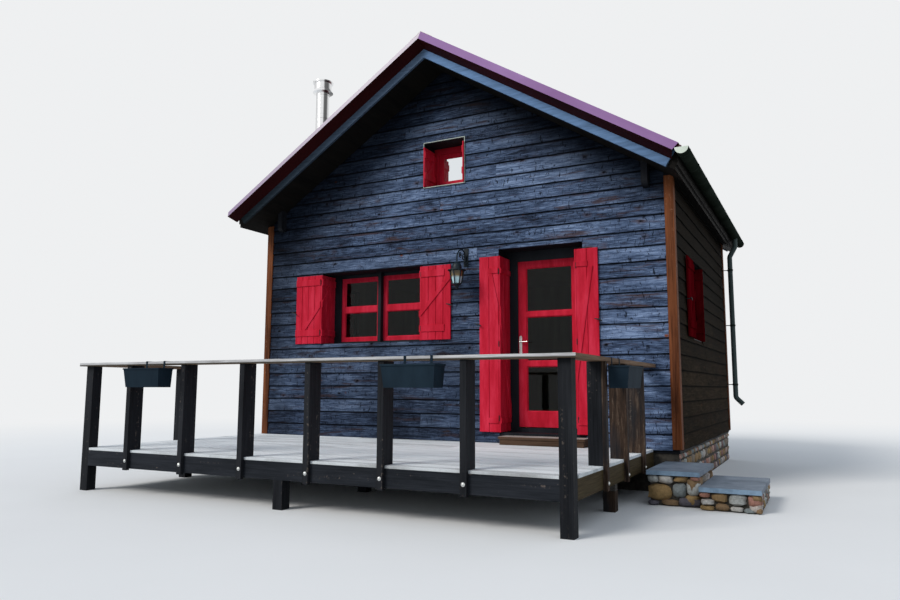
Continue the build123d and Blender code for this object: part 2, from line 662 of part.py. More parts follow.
def loft_window():
    """Small window in the gable, with a single leaf on each side of its reveal."""
    frame = window_frame(LOFT_X, LOFT_Z, LOFT_FRAME_POST, LOFT_FRAME_HEAD, 0)
    span = sash_spans(LOFT_X, LOFT_FRAME_POST, 0)[0]
    body, glass = sash(span, (LOFT_Z[0] + LOFT_FRAME_HEAD, LOFT_Z[1] - LOFT_FRAME_HEAD),
                       LOFT_SASH_STILE, 0)
    leaf_z = (LOFT_Z[0] + LOFT_SHUTTER_CLEAR[0], LOFT_Z[1] - LOFT_SHUTTER_CLEAR[1])
    inner = folded_pair(LOFT_X[0], leaf_z, OUTER_LEAF, WINDOW_LEDGES, LOFT_BRACE)[1]
    return {"frame": [frame], "sash": [body], "pane": glass,
            "leaf": [inner, opposite(inner, LOFT_X)]}


# Entrance door

LEAF_FACE = SASH_FACE
LEAF_BACK = LEAF_FACE + DOOR_THICK
HINGE_X = DOOR_LEAF_X[1] + DOOR_GAP / 2
HINGE_Y = LEAF_BACK + HINGE_OFFSET


def make_door_frame():
    """Black frame round the doorway, with a stop before the leaf and a broad head."""
    x0, x1 = DOOR_X
    y0 = FRAME_FACE
    stop = LEAF_FACE - DOOR_GAP
    jamb_left = DOOR_LEAF_X[0] - DOOR_GAP
    jamb_right = DOOR_LEAF_X[1] + DOOR_GAP
    head = DOOR_LEAF_Z[1] + DOOR_GAP
    frame = block(x0, x1, y0, LEAF_BACK, DOOR_SILL_TOP, DOOR_HEAD)
    frame -= block(jamb_left, jamb_right, stop, LEAF_BACK + 1, 0, head)
    lap = DOOR_GAP + STOP_LAP
    return frame - block(jamb_left + lap, jamb_right - lap, y0 - 1, LEAF_BACK + 1, 0, head - lap)


def make_door_sill():
    """Sill across the doorway: a low tread in the reveal and a threshold under the frame."""
    tread = block(*DOOR_X, 0, FRAME_FACE, PLINTH_TOP, FLOOR_TOP)
    return tread + block(*DOOR_X, FRAME_FACE, WALL_THICK, PLINTH_TOP, DOOR_SILL_TOP)


def make_door_leaf():
    """Red leaf of stiles and rails, and its three panes."""
    x0, x1 = DOOR_LEAF_X
    z0, z1 = DOOR_LEAF_Z
    leaf = block(x0, x1, LEAF_FACE, LEAF_BACK, z0, z1)
    glass_y = (LEAF_FACE + LEAF_BACK - GLASS_THICK) / 2
    panes = []
    top = z1 - DOOR_TOP_RAIL
    pane_height = (top - z0 - DOOR_BOTTOM_RAIL - 2 * DOOR_RAIL) / 3
    for _ in range(3):
        low = top - pane_height
        leaf -= block(x0 + DOOR_STILE, x1 - DOOR_STILE, LEAF_FACE - 1, LEAF_BACK + 1, low, top)
        panes.append(block(x0 + DOOR_STILE, x1 - DOOR_STILE, glass_y, glass_y + GLASS_THICK,
                           low, top))
        top = low - DOOR_RAIL
    return leaf, panes


def make_handle():
    """Long plate and lever on each face of the leaf's free stile."""
    width, thick = HANDLE_PLATE
    below, above = HANDLE_PLATE_ENDS
    x = DOOR_LEAF_X[0] + HANDLE_SET
    z = FLOOR_TOP + HANDLE_HEIGHT
    sets = []
    for face, way in ((LEAF_FACE, -1), (LEAF_BACK, 1)):
        plate_y = sorted((face, face + way * thick))
        plate = block(x - width / 2, x + width / 2, *plate_y, z - below, z + above)
        plate = fillet(plate.edges().filter_by(Axis.Y), width / 2 - 1)
        y0 = face + way * thick
        y1 = face + way * LEVER_REACH
        neck = Pos(x, (y0 + y1) / 2, z) * Rot(90, 0, 0) * Cylinder(LEVER_RADIUS, abs(y1 - y0))
        grip = Pos(x + LEVER_LENGTH / 2 - LEVER_RADIUS, y1, z) * Rot(0, 90, 0) * Cylinder(
            LEVER_RADIUS, LEVER_LENGTH)
        sets.append(plate + neck + grip)
    return sets


def make_hinges():
    """Lift-off hinges: the lower knuckles stay on the frame, the upper ones on the leaf."""
    fixed = []
    moving = []
    half = HINGE_LENGTH / 2
    gap = HINGE_GAP / 2
    plate_y = (LEAF_BACK, LEAF_BACK + HINGE_PLATE)
    for height in HINGE_HEIGHTS:
        z = DOOR_LEAF_Z[0] + height
        low = Pos(HINGE_X, HINGE_Y, z - half / 2) * Cylinder(HINGE_RADIUS, half - HINGE_GAP)
        low += block(HINGE_X, HINGE_X + HINGE_WING, *plate_y, z - half + gap, z - gap)
        high = Pos(HINGE_X, HINGE_Y, z + half / 2) * Cylinder(HINGE_RADIUS, half - HINGE_GAP)
        high += block(HINGE_X - HINGE_WING, HINGE_X, *plate_y, z + gap, z + half - gap)
        fixed.append(low)
        moving.append(high)
    return fixed, moving


# Deck

DECK_FRONT = -DECK_DEPTH
BOARD_BOTTOM = DECK_TOP - DECK_BOARD
RAIL_BOTTOM = RAIL_TOP - RAIL_THICK


def make_rim():
    """Rim boards on three sides, housed behind the corner posts."""
    outer = block(DECK_LEFT, DECK_RIGHT, DECK_FRONT, -CORNER_BOARD_THICK, RIM_BOTTOM, BOARD_BOTTOM)
    inner = block(DECK_LEFT + RIM_THICK, DECK_RIGHT - RIM_THICK, DECK_FRONT + RIM_THICK, 1,
                  RIM_BOTTOM - 1, BOARD_BOTTOM + 1)
    rim = outer - inner
    for post in corner_post_boxes():
        rim -= post
    return rim


def make_ledger():
    """Board along the plinth, between the left corner board and the right rim."""
    left = CORNER_BOARD_WIDTH - CORNER_BOARD_THICK - HALF_WIDTH
    z0 = BOARD_BOTTOM - JOIST_DEPTH
    ledger = block(left, DECK_RIGHT - RIM_THICK, -RIM_THICK, PLINTH_INSET, z0, BOARD_BOTTOM)
    return ledger - block(left - 1, DECK_RIGHT, 0, WALL_THICK, PLINTH_TOP, DECK_TOP)


def make_joists():
    """Joists from the front rim to the ledger."""
    first = DECK_LEFT + RIM_THICK + CORNER_POST
    last = DECK_RIGHT - RIM_THICK - CORNER_POST
    step = (last - first) / (JOIST_COUNT - 1)
    half = RIM_THICK / 2
    return [block(first + i * step - half, first + i * step + half, DECK_FRONT + RIM_THICK,
                  -RIM_THICK, BOARD_BOTTOM - JOIST_DEPTH, BOARD_BOTTOM)
            for i in range(JOIST_COUNT)]


def make_bearer():
    """Beam across the deck, under the joists."""
    top = BOARD_BOTTOM - JOIST_DEPTH
    return block(DECK_LEFT + RIM_THICK, DECK_RIGHT - RIM_THICK, LEG_ROW_Y - BEARER_THICK / 2,
                 LEG_ROW_Y + BEARER_THICK / 2, top - BEARER_DEPTH, top)


def corner_post_boxes():
    """Two square posts from the ground to the handrail."""
    y0 = DECK_FRONT
    return [block(DECK_LEFT, DECK_LEFT + CORNER_POST, y0, y0 + CORNER_POST, 0, RAIL_BOTTOM),
            block(DECK_RIGHT - CORNER_POST, DECK_RIGHT, y0, y0 + CORNER_POST, 0, RAIL_BOTTOM)]


def make_deck_boards():
    """Deck boarding as one layer, cut round the corner posts."""
    deck = block(DECK_LEFT, DECK_RIGHT, DECK_FRONT, -CORNER_BOARD_THICK, BOARD_BOTTOM, DECK_TOP)
    for post in corner_post_boxes():
        deck -= post
    return deck


def make_legs():
    """Square legs: one under the front rim and a row under the bearer."""
    half = CORNER_POST / 2
    leg = block(FRONT_LEG_X, FRONT_LEG_X + CORNER_POST, DECK_FRONT, DECK_FRONT + CORNER_POST,
                0, RIM_BOTTOM)
    ends = (DECK_LEFT + RIM_THICK + half, DECK_RIGHT - RIM_THICK - half)
    z1 = BOARD_BOTTOM - JOIST_DEPTH - BEARER_DEPTH
    row = [block(x - half, x + half, LEG_ROW_Y - half, LEG_ROW_Y + half, 0, z1)
           for x in (ends[0], (ends[0] + ends[1]) / 2, ends[1])]
    return [leg] + row


def notched_plank():
    """Railing plank in its own place: notched over the deck's edge at x = 0 and y = 0.

    Its tongue hangs before y = 0 and its full depth stands on the deck behind.
    """
    y0 = -TONGUE_THICK
    y1 = y0 + PLANK_DEPTH
    half = PLANK_THICK / 2
    outline = [(y0, TONGUE_BOTTOM), (0, TONGUE_BOTTOM), (0, DECK_TOP), (y1, DECK_TOP),
               (y1, RAIL_BOTTOM), (y0, RAIL_BOTTOM)]
    return prism_x(outline, -half, half)


def make_rail_posts():
    """Notched planks along the front, the right side and the left side."""
    plank = notched_plank()
    posts = []
    for i in range(FRONT_POST_COUNT):
        posts.append(Pos(FRONT_POST_FIRST + i * FRONT_POST_STEP, DECK_FRONT, 0) * plank)
    right = Rot(0, 0, 90) * plank
    for i in range(RIGHT_POST_COUNT):
        posts.append(Pos(DECK_RIGHT, RIGHT_POST_FIRST + i * RIGHT_POST_STEP, 0) * right)
    posts.append(Pos(DECK_LEFT, LEFT_POST_Y, 0) * Rot(0, 0, -90) * plank)
    return posts


def make_handrails():
    """Flat handrail boards; the side boards butt against the front one."""
    out = TONGUE_THICK + RAIL_OVERHANG
    y0 = DECK_FRONT - out
    y1 = y0 + RAIL_WIDTH
    x0 = DECK_LEFT - out
    x1 = DECK_RIGHT + out
    z = (RAIL_BOTTOM, RAIL_TOP)
    y2 = y1 + JOINT_GAP
    return [block(x0, x1, y0, y1, *z),
            block(x1 - RAIL_WIDTH, x1, y2, -CORNER_BOARD_THICK, *z),
            block(x0, x0 + RAIL_WIDTH, y2, LEFT_POST_Y + PLANK_THICK, *z)]


def make_door_step():
    """Step before the door: a riser box with a board on it."""
    x0, x1 = DOOR_STEP_X
    y0 = -CORNER_BOARD_THICK - DOOR_STEP_DEPTH
    z1 = DECK_TOP + DOOR_STEP_HEIGHT
    tread = block(x0, x1, y0, -CORNER_BOARD_THICK, z1 - DOOR_STEP_TREAD, z1)
    nose = DOOR_STEP_NOSE
    riser = block(x0 + nose, x1 - nose, y0 + nose, -CORNER_BOARD_THICK, DECK_TOP,
                  z1 - DOOR_STEP_TREAD)
    return tread + riser


# Planters and lantern

def planter():
    """Flared trough hung on a rail by two hooks; the rail's outer edge is y = 0."""
    outer = trough_solid(0)
    inner = trough_solid(PLANTER_WALL)
    soil_top = PLANTER_TOP - PLANTER_SOIL
    soil = inner - block(-PLANTER_LENGTH, PLANTER_LENGTH, -2 * PLANTER_WIDTH, PLANTER_WIDTH,
                         soil_top, soil_top + PLANTER_HEIGHT)
    trough = outer - inner
    t = HANGER_THICK
    for x in (-PLANTER_LENGTH / 4, PLANTER_LENGTH / 4):
        half = HANGER_WIDTH / 2
        hook = block(x - half, x + half, -t, 0, PLANTER_TOP - HANGER_WIDTH, RAIL_TOP + t)
        hook += block(x - half, x + half, -t, 2 * HANGER_WIDTH, RAIL_TOP, RAIL_TOP + t)
        trough += hook
    return trough, soil


def trough_solid(wall):
    """Solid of the trough's outside, or of its inside a wall further in."""
    gap = -HANGER_THICK - wall
    low = PLANTER_TOP - PLANTER_HEIGHT + wall
    taper = PLANTER_TAPER
    length = PLANTER_LENGTH - 2 * wall
    width = PLANTER_WIDTH - 2 * wall
    top = Pos(0, gap - width / 2, PLANTER_TOP) * Rectangle(length, width)
    foot = Pos(0, gap - (width - taper) / 2, low) * Rectangle(length - 2 * taper, width - taper)
    return loft([foot, top])


def make_planters():
    """Two troughs on the front rail and one on the right rail."""
    trough, soil = planter()
    edge = TONGUE_THICK + RAIL_OVERHANG
    places = [Pos(x, DECK_FRONT - edge, 0) for x in FRONT_PLANTERS]
    places.append(Pos(DECK_RIGHT + edge, RIGHT_PLANTER, 0) * Rot(0, 0, 90))
    return [place * trough for place in places], [place * soil for place in places]


def make_lantern():
    """Wall lantern: back plate, arm, stem and a six-sided lamp under a broad brim."""
    width = LANTERN_PLATE[0]
    plate_foot, plate_head = [DOOR_HEAD + rise for rise in LANTERN_PLATE[1:]]
    half = LANTERN_BAR / 2
    left = LANTERN_X - half
    right = LANTERN_X + half
    plate = block(LANTERN_X - width / 2, LANTERN_X + width / 2, -SHUTTER_STAND_OFF, 0,
                  plate_foot, plate_head)
    arm_z = (plate_foot + plate_head) / 2
    arm = block(left, right, -LANTERN_REACH, -SHUTTER_STAND_OFF, arm_z - half, arm_z + half)
    foot, brim, top = [DOOR_HEAD - drop for drop in LANTERN_DROPS]
    stem = block(left, right, -LANTERN_REACH - half, -LANTERN_REACH + half, top, arm_z + half)
    cage = loft([Pos(0, 0, foot) * RegularPolygon(LANTERN_CAGE[0], 6),
                 Pos(0, 0, brim) * RegularPolygon(LANTERN_CAGE[1], 6)])
    roof = loft([Pos(0, 0, brim) * RegularPolygon(LANTERN_ROOF[0], 6),
                 Pos(0, 0, top) * RegularPolygon(LANTERN_ROOF[1], 6)])
    lamp = Pos(LANTERN_X, -LANTERN_REACH, 0) * (cage + roof)
    return plate + arm + stem + lamp


# Stone steps

def make_steps():
    """Rubble masonry of two steps against the plinth, and the slate slab on each."""
    masonry = Part()
    slabs = []
    for i, top in enumerate(SLAB_TOPS):
        place = (STEP_EDGES[i], STEP_EDGES[i + 1], STEP_FRONTS[i], PLINTH_INSET)
        masonry += block(*place, GROUND_Z, top - SLAB_THICK)
        slabs.append(block(*place, top - SLAB_THICK, top))
    return masonry, slabs


# The whole

def make_nodes():
    """Every node's solids, in the frame of the front wall."""
    nodes = {"plinth": [make_plinth()],
             "floors": [room_box(PLINTH_TOP, FLOOR_TOP),
                        room_box(LOFT_FLOOR_BOTTOM, LOFT_FLOOR_BOTTOM + LOFT_FLOOR_THICK)]}
    for name, wall in make_walls().items():
        nodes[name] = [wall]
    nodes["corner_boards"] = make_corner_boards()
    nodes["wall_plates"] = both_sides(wall_plate())
    nodes["ridge_beam"] = [ridge_beam()]
    panel = prism(panel_outline(), -ROOF_OVERHANG, HOUSE_LENGTH + ROOF_OVERHANG)
    nodes["roof_panels"] = [panel, mirrored(panel) - flue_cut()]
    nodes["roof_sheets"] = [mirrored(make_sheet(SHEET_DRIPS[0])) - flue_cut(),
                            make_sheet(SHEET_DRIPS[1])]
    nodes["fascia_boards"] = both_sides(make_fascia())
    nodes["bargeboards"] = make_bargeboards()
    nodes["verge_flashings"] = make_flashings()
    nodes["ridge_cap"] = [make_ridge_cap()]
    nodes["gutter"] = make_gutter()
    nodes["downpipe"] = [make_downpipe()]
    nodes["flue"] = [make_flue()]
    nodes["flue_cowl"] = [make_cowl()]

    front = window_unit(WINDOW_X, WINDOW_Z, FRAME_MULLION, 2)
    side = window_unit(SIDE_WINDOW_Y, WINDOW_Z, 0, 1)
    loft_unit = loft_window()
    names = {"frame": "window_frames", "sash": "window_sashes", "pane": "window_panes",
             "leaf": "window_shutters"}
    for kind, name in names.items():
        right = [side_place(shape) for shape in side[kind]]
        nodes[name] = front[kind] + loft_unit[kind] + right + [mirrored(shape) for shape in right]

    left_edge = DOOR_X[0] + DOOR_SHUTTER_INSET[0]
    right_edge = DOOR_X[1] - DOOR_SHUTTER_INSET[1]
    left = folded_pair(left_edge, DOOR_SHUTTER_Z, DOOR_OUTER_LEAF, DOOR_LEDGES,
                       DOOR_LEFT_BRACE)
    right = folded_pair(-right_edge, DOOR_SHUTTER_Z, DOOR_OUTER_LEAF, DOOR_LEDGES,
                        DOOR_RIGHT_BRACE)
    nodes["door_shutters"] = left + [mirrored(leaf) for leaf in right]
    nodes["door_frame"] = [make_door_frame()]
    nodes["door_sill"] = [make_door_sill()]
    leaf, panes = make_door_leaf()
    nodes["door_leaf"] = [leaf]
    nodes["door_panes"] = panes
    nodes["door_handle"] = make_handle()
    nodes["door_hinge_pins"], nodes["door_hinge_straps"] = make_hinges()

    nodes["deck_boards"] = [make_deck_boards()]
    nodes["deck_rim"] = [make_rim()]
    nodes["deck_joists"] = make_joists()
    nodes["deck_ledger"] = [make_ledger()]
    nodes["deck_bearer"] = [make_bearer()]
    nodes["deck_legs"] = make_legs()
    nodes["corner_posts"] = corner_post_boxes()
    nodes["rail_posts"] = make_rail_posts()
    nodes["handrails"] = make_handrails()
    nodes["door_step"] = [make_door_step()]
    nodes["planters"], nodes["planter_soil"] = make_planters()
    nodes["wall_lantern"] = [make_lantern()]
    masonry, slabs = make_steps()
    nodes["step_masonry"] = [masonry]
    nodes["step_slabs"] = slabs
    return nodes


def solids_of(shapes):
    """Every solid in a list of shapes."""
    return [solid for shape in shapes for solid in shape.solids()]


nodes = {name: solids_of(shapes) for name, shapes in make_nodes().items()}
whole = Compound([solid for solids in nodes.values() for solid in solids]).bounding_box()
shift = Vector(-(whole.min.X + whole.max.X) / 2, -(whole.min.Y + whole.max.Y) / 2, 0)
print(f"moved by {shift.X:.3f} {shift.Y:.3f}, hinge at {HINGE_X + shift.X:.3f} "
      f"{HINGE_Y + shift.Y:.3f}")

os.makedirs("parts", exist_ok=True)
for name, solids in nodes.items():
    moved = [Pos(shift) * solid for solid in solids]
    shape = moved[0] if len(moved) == 1 else Compound(moved)
    export_step(shape, f"parts/{name}.step")
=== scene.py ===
# %% [markdown]
# # A small timber chalet with a deck
#
# The solids come from a CAD model: walls with real openings, the roof, the joinery, the deck
# and the one moving part, the entrance door. This notebook dresses them. It adds what a
# carpenter would nail or paint on: lapped boards, shutters made of planks, bolts, stones.

# %% Load the CAD model as a fixed frame
import math

import bmesh
import bpy
import numpy as np
from mathutils import Matrix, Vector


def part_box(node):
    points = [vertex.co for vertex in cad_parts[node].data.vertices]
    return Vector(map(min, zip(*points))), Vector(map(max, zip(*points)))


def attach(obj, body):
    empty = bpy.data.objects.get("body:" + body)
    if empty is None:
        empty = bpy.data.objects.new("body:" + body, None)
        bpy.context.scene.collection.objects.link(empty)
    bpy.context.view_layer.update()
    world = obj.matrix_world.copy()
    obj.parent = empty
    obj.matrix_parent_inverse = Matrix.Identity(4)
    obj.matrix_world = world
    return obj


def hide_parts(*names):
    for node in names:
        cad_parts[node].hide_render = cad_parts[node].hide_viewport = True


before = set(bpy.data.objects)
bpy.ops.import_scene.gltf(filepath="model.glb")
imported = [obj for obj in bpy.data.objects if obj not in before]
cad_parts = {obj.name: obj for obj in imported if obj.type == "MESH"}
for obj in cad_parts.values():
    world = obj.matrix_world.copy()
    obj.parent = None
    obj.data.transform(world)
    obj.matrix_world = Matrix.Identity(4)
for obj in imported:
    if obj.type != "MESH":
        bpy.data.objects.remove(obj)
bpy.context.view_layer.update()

# %% [markdown]
# Everything on the house is measured from one point: the middle of the front wall's outer
# face, at ground level. The gable wall's box gives that point, so the sizes below can be
# read straight off a drawing of the front wall, in metres.

# %% The house's own point of measure
gable_low, gable_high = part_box("front_gable")
BASE = np.array([(gable_low[0] + gable_high[0]) / 2, gable_low[1], 0.0])
HALF_WIDTH = (gable_high[0] - gable_low[0]) / 2
HOUSE_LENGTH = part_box("back_wall")[1][1] - gable_low[1]
X, Y, UP = np.eye(3)
WALLS = {
    "front": (BASE, X, -Y),
    "back": (BASE + HOUSE_LENGTH * Y, X, Y),
    "right": (BASE + HALF_WIDTH * X, Y, X),
    "left": (BASE - HALF_WIDTH * X, Y, -X),
}


def placed(local, origin, along, out):
    """Points (u, n, z) on a wall: the origin plus u along the wall, n out of it and z up."""
    local = np.asarray(local, dtype=float)
    return origin + local[..., 0:1] * along + local[..., 1:2] * out + local[..., 2:3] * UP


print("front wall", round(2 * HALF_WIDTH, 3), "by", round(HOUSE_LENGTH, 3), "m, base", BASE)

# %% [markdown]
# The camera stands where the photograph was taken. Its place, turn and focal length were
# worked out from the vanishing lines of the boards, the deck and the eaves. A tilt of
# a tenth of a degree is kept, because long level boards show it.

# %% Camera
CAMERA_PLACE = BASE + np.array([4.597, -8.620, 1.175])
CAMERA_YAW, CAMERA_PITCH, CAMERA_ROLL = 27.463, 6.995, 0.126
SENSOR_WIDTH, FOCAL_PIXELS, PHOTO_WIDTH = 36, 720.388, 900
LENS = SENSOR_WIDTH * FOCAL_PIXELS / PHOTO_WIDTH

camera = bpy.data.objects.new("camera", bpy.data.cameras.new("camera"))
bpy.context.collection.objects.link(camera)
camera.data.lens = LENS
camera.data.clip_end = 200
turn = (Matrix.Rotation(math.radians(CAMERA_YAW), 4, "Z")
        @ Matrix.Rotation(math.radians(90 + CAMERA_PITCH), 4, "X")
        @ Matrix.Rotation(math.radians(CAMERA_ROLL), 4, "Z"))
camera.matrix_world = Matrix.Translation(CAMERA_PLACE.tolist()) @ turn
bpy.context.scene.camera = camera
print("camera at", CAMERA_PLACE.round(3), "lens", round(LENS, 2))

# %% [markdown]
# ## Tools for surfaces
#
# Almost every piece here is a stack of rings: a section carried along a line, or a circle
# that grows and shrinks. Blender's own tools could spin or extrude each one by hand. Here the
# points are worked out as whole arrays, so every size can be read and changed, and one
# function joins each ring to the next. Rings at the ends are filled, so the surface is closed.

# %% Rings joined into closed surfaces
def across_and_up(axis):
    """Three unit vectors at right angles, the third along the axis."""
    third = axis / np.linalg.norm(axis)
    first = np.cross(UP, third)
    first = first / np.linalg.norm(first)
    return first, np.cross(third, first), third


def skin(rings, closed=False):
    """Faces over a stack of rings: corner j of ring i joins corner j + 1 and ring i + 1.

    The result is the points, the corners of all faces in one row, and each face's number of
    corners. The two end rings are filled, or joined to each other if the stack is closed.
    """
    rings = np.asarray(rings, dtype=float)
    count, sides = rings.shape[:2]
    index = np.arange(count * sides).reshape(count, sides)
    rows = np.vstack([index, index[:1]]) if closed else index
    across = np.roll(rows, -1, axis=1)
    quads = np.stack([rows[:-1], across[:-1], across[1:], rows[1:]], axis=-1)
    corners, sizes = quads.ravel(), np.full(quads.size // 4, 4)
    if not closed:
        corners = np.concatenate([corners, index[0][::-1], index[-1]])
        sizes = np.append(sizes, (sides, sides))
    return rings.reshape(-1, 3), corners, sizes


print("2 rings of 4 points make", len(skin(np.zeros((2, 4, 3)))[2]), "faces")

# %% [markdown]
# Parts become one Blender object. The points of all parts go into the mesh in one row, and
# so do the corners of all faces, each moved on by the number of points before it. A thing
# that is repeated, such as a screw, then costs one object, not hundreds. Normals are turned
# outwards, gentle edges are shaded smooth, and the piece is told which body it rides on.

# %% One object from many parts
def make_piece(name, parts, material, body="house", grain=None, smooth=35):
    """One object from many closed surfaces, whose corner numbers are moved on part by part."""
    starts = np.cumsum([0] + [len(points) for points, _, _ in parts[:-1]])
    points = np.concatenate([points for points, _, _ in parts])
    corners = np.concatenate([row + start for (_, row, _), start in zip(parts, starts)])
    sizes = np.concatenate([count for _, _, count in parts])
    mesh = bpy.data.meshes.new(name)
    mesh.vertices.add(len(points))
    mesh.vertices.foreach_set("co", points.astype(np.float32).ravel())
    mesh.loops.add(len(corners))
    mesh.loops.foreach_set("vertex_index", corners.astype(np.int32))
    mesh.polygons.add(len(sizes))
    mesh.polygons.foreach_set("loop_start", (np.cumsum(sizes) - sizes).astype(np.int32))
    mesh.update(calc_edges=True)
    if grain is not None:
        mesh.attributes.new("grain", "FLOAT_VECTOR", "POINT").data.foreach_set(
            "vector", np.concatenate(grain).astype(np.float32).ravel())
    shell = bmesh.new()
    shell.from_mesh(mesh)
    bmesh.ops.recalc_face_normals(shell, faces=shell.faces)
    shell.to_mesh(mesh)
    shell.free()
    mesh.polygons.foreach_set("use_smooth", np.ones(len(mesh.polygons), dtype=bool))
    mesh.set_sharp_from_angle(angle=math.radians(smooth))
    mesh.materials.append(material)
    piece = bpy.data.objects.new(name, mesh)
    bpy.context.collection.objects.link(piece)
    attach(piece, body)
    print(f"{name}: {len(parts)} parts, {int((sizes - 2).sum())} triangles")
    return piece


# %% [markdown]
# Carpentry is mostly boards. A cube with a bevel would do for a plain one, but a slanting
# brace needs an outline of its own. So a board seen from the front is an outline with a
# thickness and a small chamfer all round, which catches the light. A long board is a
# rectangle with its corners cut, carried from one end to the other.

# %% Boards
def inset(outline, distance):
    """Corners of a convex outline moved inwards along the bisector of their two edges."""
    outline = np.asarray(outline, dtype=float)
    before = outline - np.roll(outline, 1, axis=0)
    after = np.roll(outline, -1, axis=0) - outline
    before /= np.linalg.norm(before, axis=1, keepdims=True)
    after /= np.linalg.norm(after, axis=1, keepdims=True)
    way = after - before
    sine = np.abs(before[:, 0] * after[:, 1] - before[:, 1] * after[:, 0])[:, None]
    return outline + way * distance / sine


def slab(outline, depth_0, depth_1, chamfer, origin, along, out):
    """Board from an outline of (u, z) points: a straight side, a chamfer and a flat face."""
    outline = np.asarray(outline, dtype=float)
    rings = [(outline, depth_0), (outline, depth_1 - chamfer), (inset(outline, chamfer), depth_1)]
    local = np.stack([np.insert(ring, 1, depth, axis=1) for ring, depth in rings])
    return skin(placed(local, origin, along, out))


def rectangle(u0, u1, z0, z1):
    """Corners of an upright rectangle as (u, z) points."""
    return np.array([(u0, z0), (u1, z0), (u1, z1), (u0, z1)])


def plank(low, high, rounding, steps=2):
    """Long board: a rectangle with cut corners, carried from one end to the other in steps."""
    low, high = np.asarray(low, dtype=float), np.asarray(high, dtype=float)
    axis = int(np.argmax(high - low))
    a, b = [i for i in range(3) if i != axis]
    r = rounding
    corners = np.array([(low[a] + r, low[b]), (high[a] - r, low[b]), (high[a], low[b] + r),
                        (high[a], high[b] - r), (high[a] - r, high[b]), (low[a] + r, high[b]),
                        (low[a], high[b] - r), (low[a], low[b] + r)])
    rings = np.zeros((steps, 8, 3))
    rings[..., a] = corners[:, 0]
    rings[..., b] = corners[:, 1]
    rings[..., axis] = np.linspace(low[axis], high[axis], steps)[:, None]
    return skin(rings)


print("boards ready: slab and plank")

# %% [markdown]
# Screws, rings and collars are turned: pairs of radius and height are swung round an axis.
# Bars, hooks and scrolls are bent: a circle is carried along a path and stays square to it.
# A curve with a round bevel could make the bars too. As arrays, both kinds come out closed
# and can join the boards in one piece.

# %% Turned pieces and bars
def turned(profile, sides, centre, axis=UP):
    """Turned piece: (radius, height) pairs swung in a full circle about an axis."""
    profile = np.asarray(profile, dtype=float)
    first, second, third = across_and_up(axis if abs(axis[2]) < 0.99 else axis + 1e-6 * X)
    angle = np.arange(sides) * 2 * np.pi / sides
    circle = np.cos(angle)[:, None] * first + np.sin(angle)[:, None] * second
    rings = (profile[:, 0, None, None] * circle[None] + profile[:, 1, None, None] * third
             + np.asarray(centre))
    return skin(rings)


def rod(path, radius, sides=8):
    """Round bar: a circle carried along a path, square to the path's direction."""
    path = np.asarray(path, dtype=float)
    way = np.gradient(path, axis=0)
    way /= np.linalg.norm(way, axis=1, keepdims=True)
    hint = X if np.abs(way @ X).max() < 0.9 else (Y if np.abs(way @ Y).max() < 0.9 else UP)
    first = np.cross(way, hint)
    first /= np.linalg.norm(first, axis=1, keepdims=True)
    second = np.cross(way, first)
    angle = np.arange(sides) * 2 * np.pi / sides
    ring = (np.cos(angle)[None, :, None] * first[:, None]
            + np.sin(angle)[None, :, None] * second[:, None])
    return skin(path[:, None] + np.asarray(radius).reshape(-1, 1, 1) * ring)


print("turned pieces ready: turned and rod")

# %% [markdown]
# ## Tools for finishes
#
# A finish is a small tree of nodes. It could be wired by hand in the shader editor, but then
# nobody sees its numbers side by side. Short helpers keep each recipe readable instead. The
# first starts a finish with its shader. The second adds one node, its inputs set or linked.

# %% A finish and its nodes
def new_finish(name, roughness=0.7, **settings):
    """Material with one Principled shader; returns the material, its tree and the shader."""
    material = bpy.data.materials.new(name)
    material.use_nodes = True
    tree = material.node_tree
    shader = tree.nodes["Principled BSDF"]
    shader.inputs["Roughness"].default_value = roughness
    for socket, value in settings.items():
        shader.inputs[socket.replace("_", " ")].default_value = value
    return material, tree, shader


def add(tree, kind, inputs=None, **settings):
    """Node of a kind, with its settings and its inputs, linked or set."""
    node = tree.nodes.new("ShaderNode" + kind)
    for key, value in settings.items():
        setattr(node, key, value)
    for key, value in (inputs or {}).items():
        if isinstance(value, bpy.types.NodeSocket):
            tree.links.new(value, node.inputs[key])
        else:
            node.inputs[key].default_value = value
    return node


print("finish helpers: new_finish, add")

# %% [markdown]
# A pattern is a value from 0 to 1 at every point of a surface. A ramp turns it into colours,
# a blend lays one colour over another, and a sum of two values joins patterns.

# %% Colours and sums
def ramp(tree, value, stops):
    """Colours spread over a value: each stop is a place from 0 to 1 and a colour or grey."""
    node = add(tree, "ValToRGB", {"Fac": value})
    row = node.color_ramp.elements
    while len(row) < len(stops):
        row.new(0.5)
    for element, (place, colour) in zip(row, stops):
        element.position = place
        grey = (colour,) * 3 if np.isscalar(colour) else colour
        element.color = (*grey, 1)
    return node.outputs["Color"]


def blend(tree, amount, first, second, mode="MIX"):
    """First colour with the second laid over it by an amount."""
    node = add(tree, "Mix", data_type="RGBA", blend_type=mode)
    for socket, value in zip((node.inputs[0], node.inputs[6], node.inputs[7]),
                             (amount, first, second)):
        if isinstance(value, bpy.types.NodeSocket):
            tree.links.new(value, socket)
        else:
            socket.default_value = value if np.isscalar(value) else (*value, 1)
    return node.outputs[2]


def calc(tree, operation, first, second=0.0):
    """One sum on two values, such as MULTIPLY or GREATER_THAN."""
    return add(tree, "Math", {0: first, 1: second}, operation=operation).outputs[0]


print("colour helpers: ramp, blend, calc")

# %% [markdown]
# Patterns are laid out on Object coordinates, whose metres are the house's own metres, so
# they stay put from every side. Noise that is squeezed on two axes is drawn out into grain
# along the third, and the same value can raise bumps.

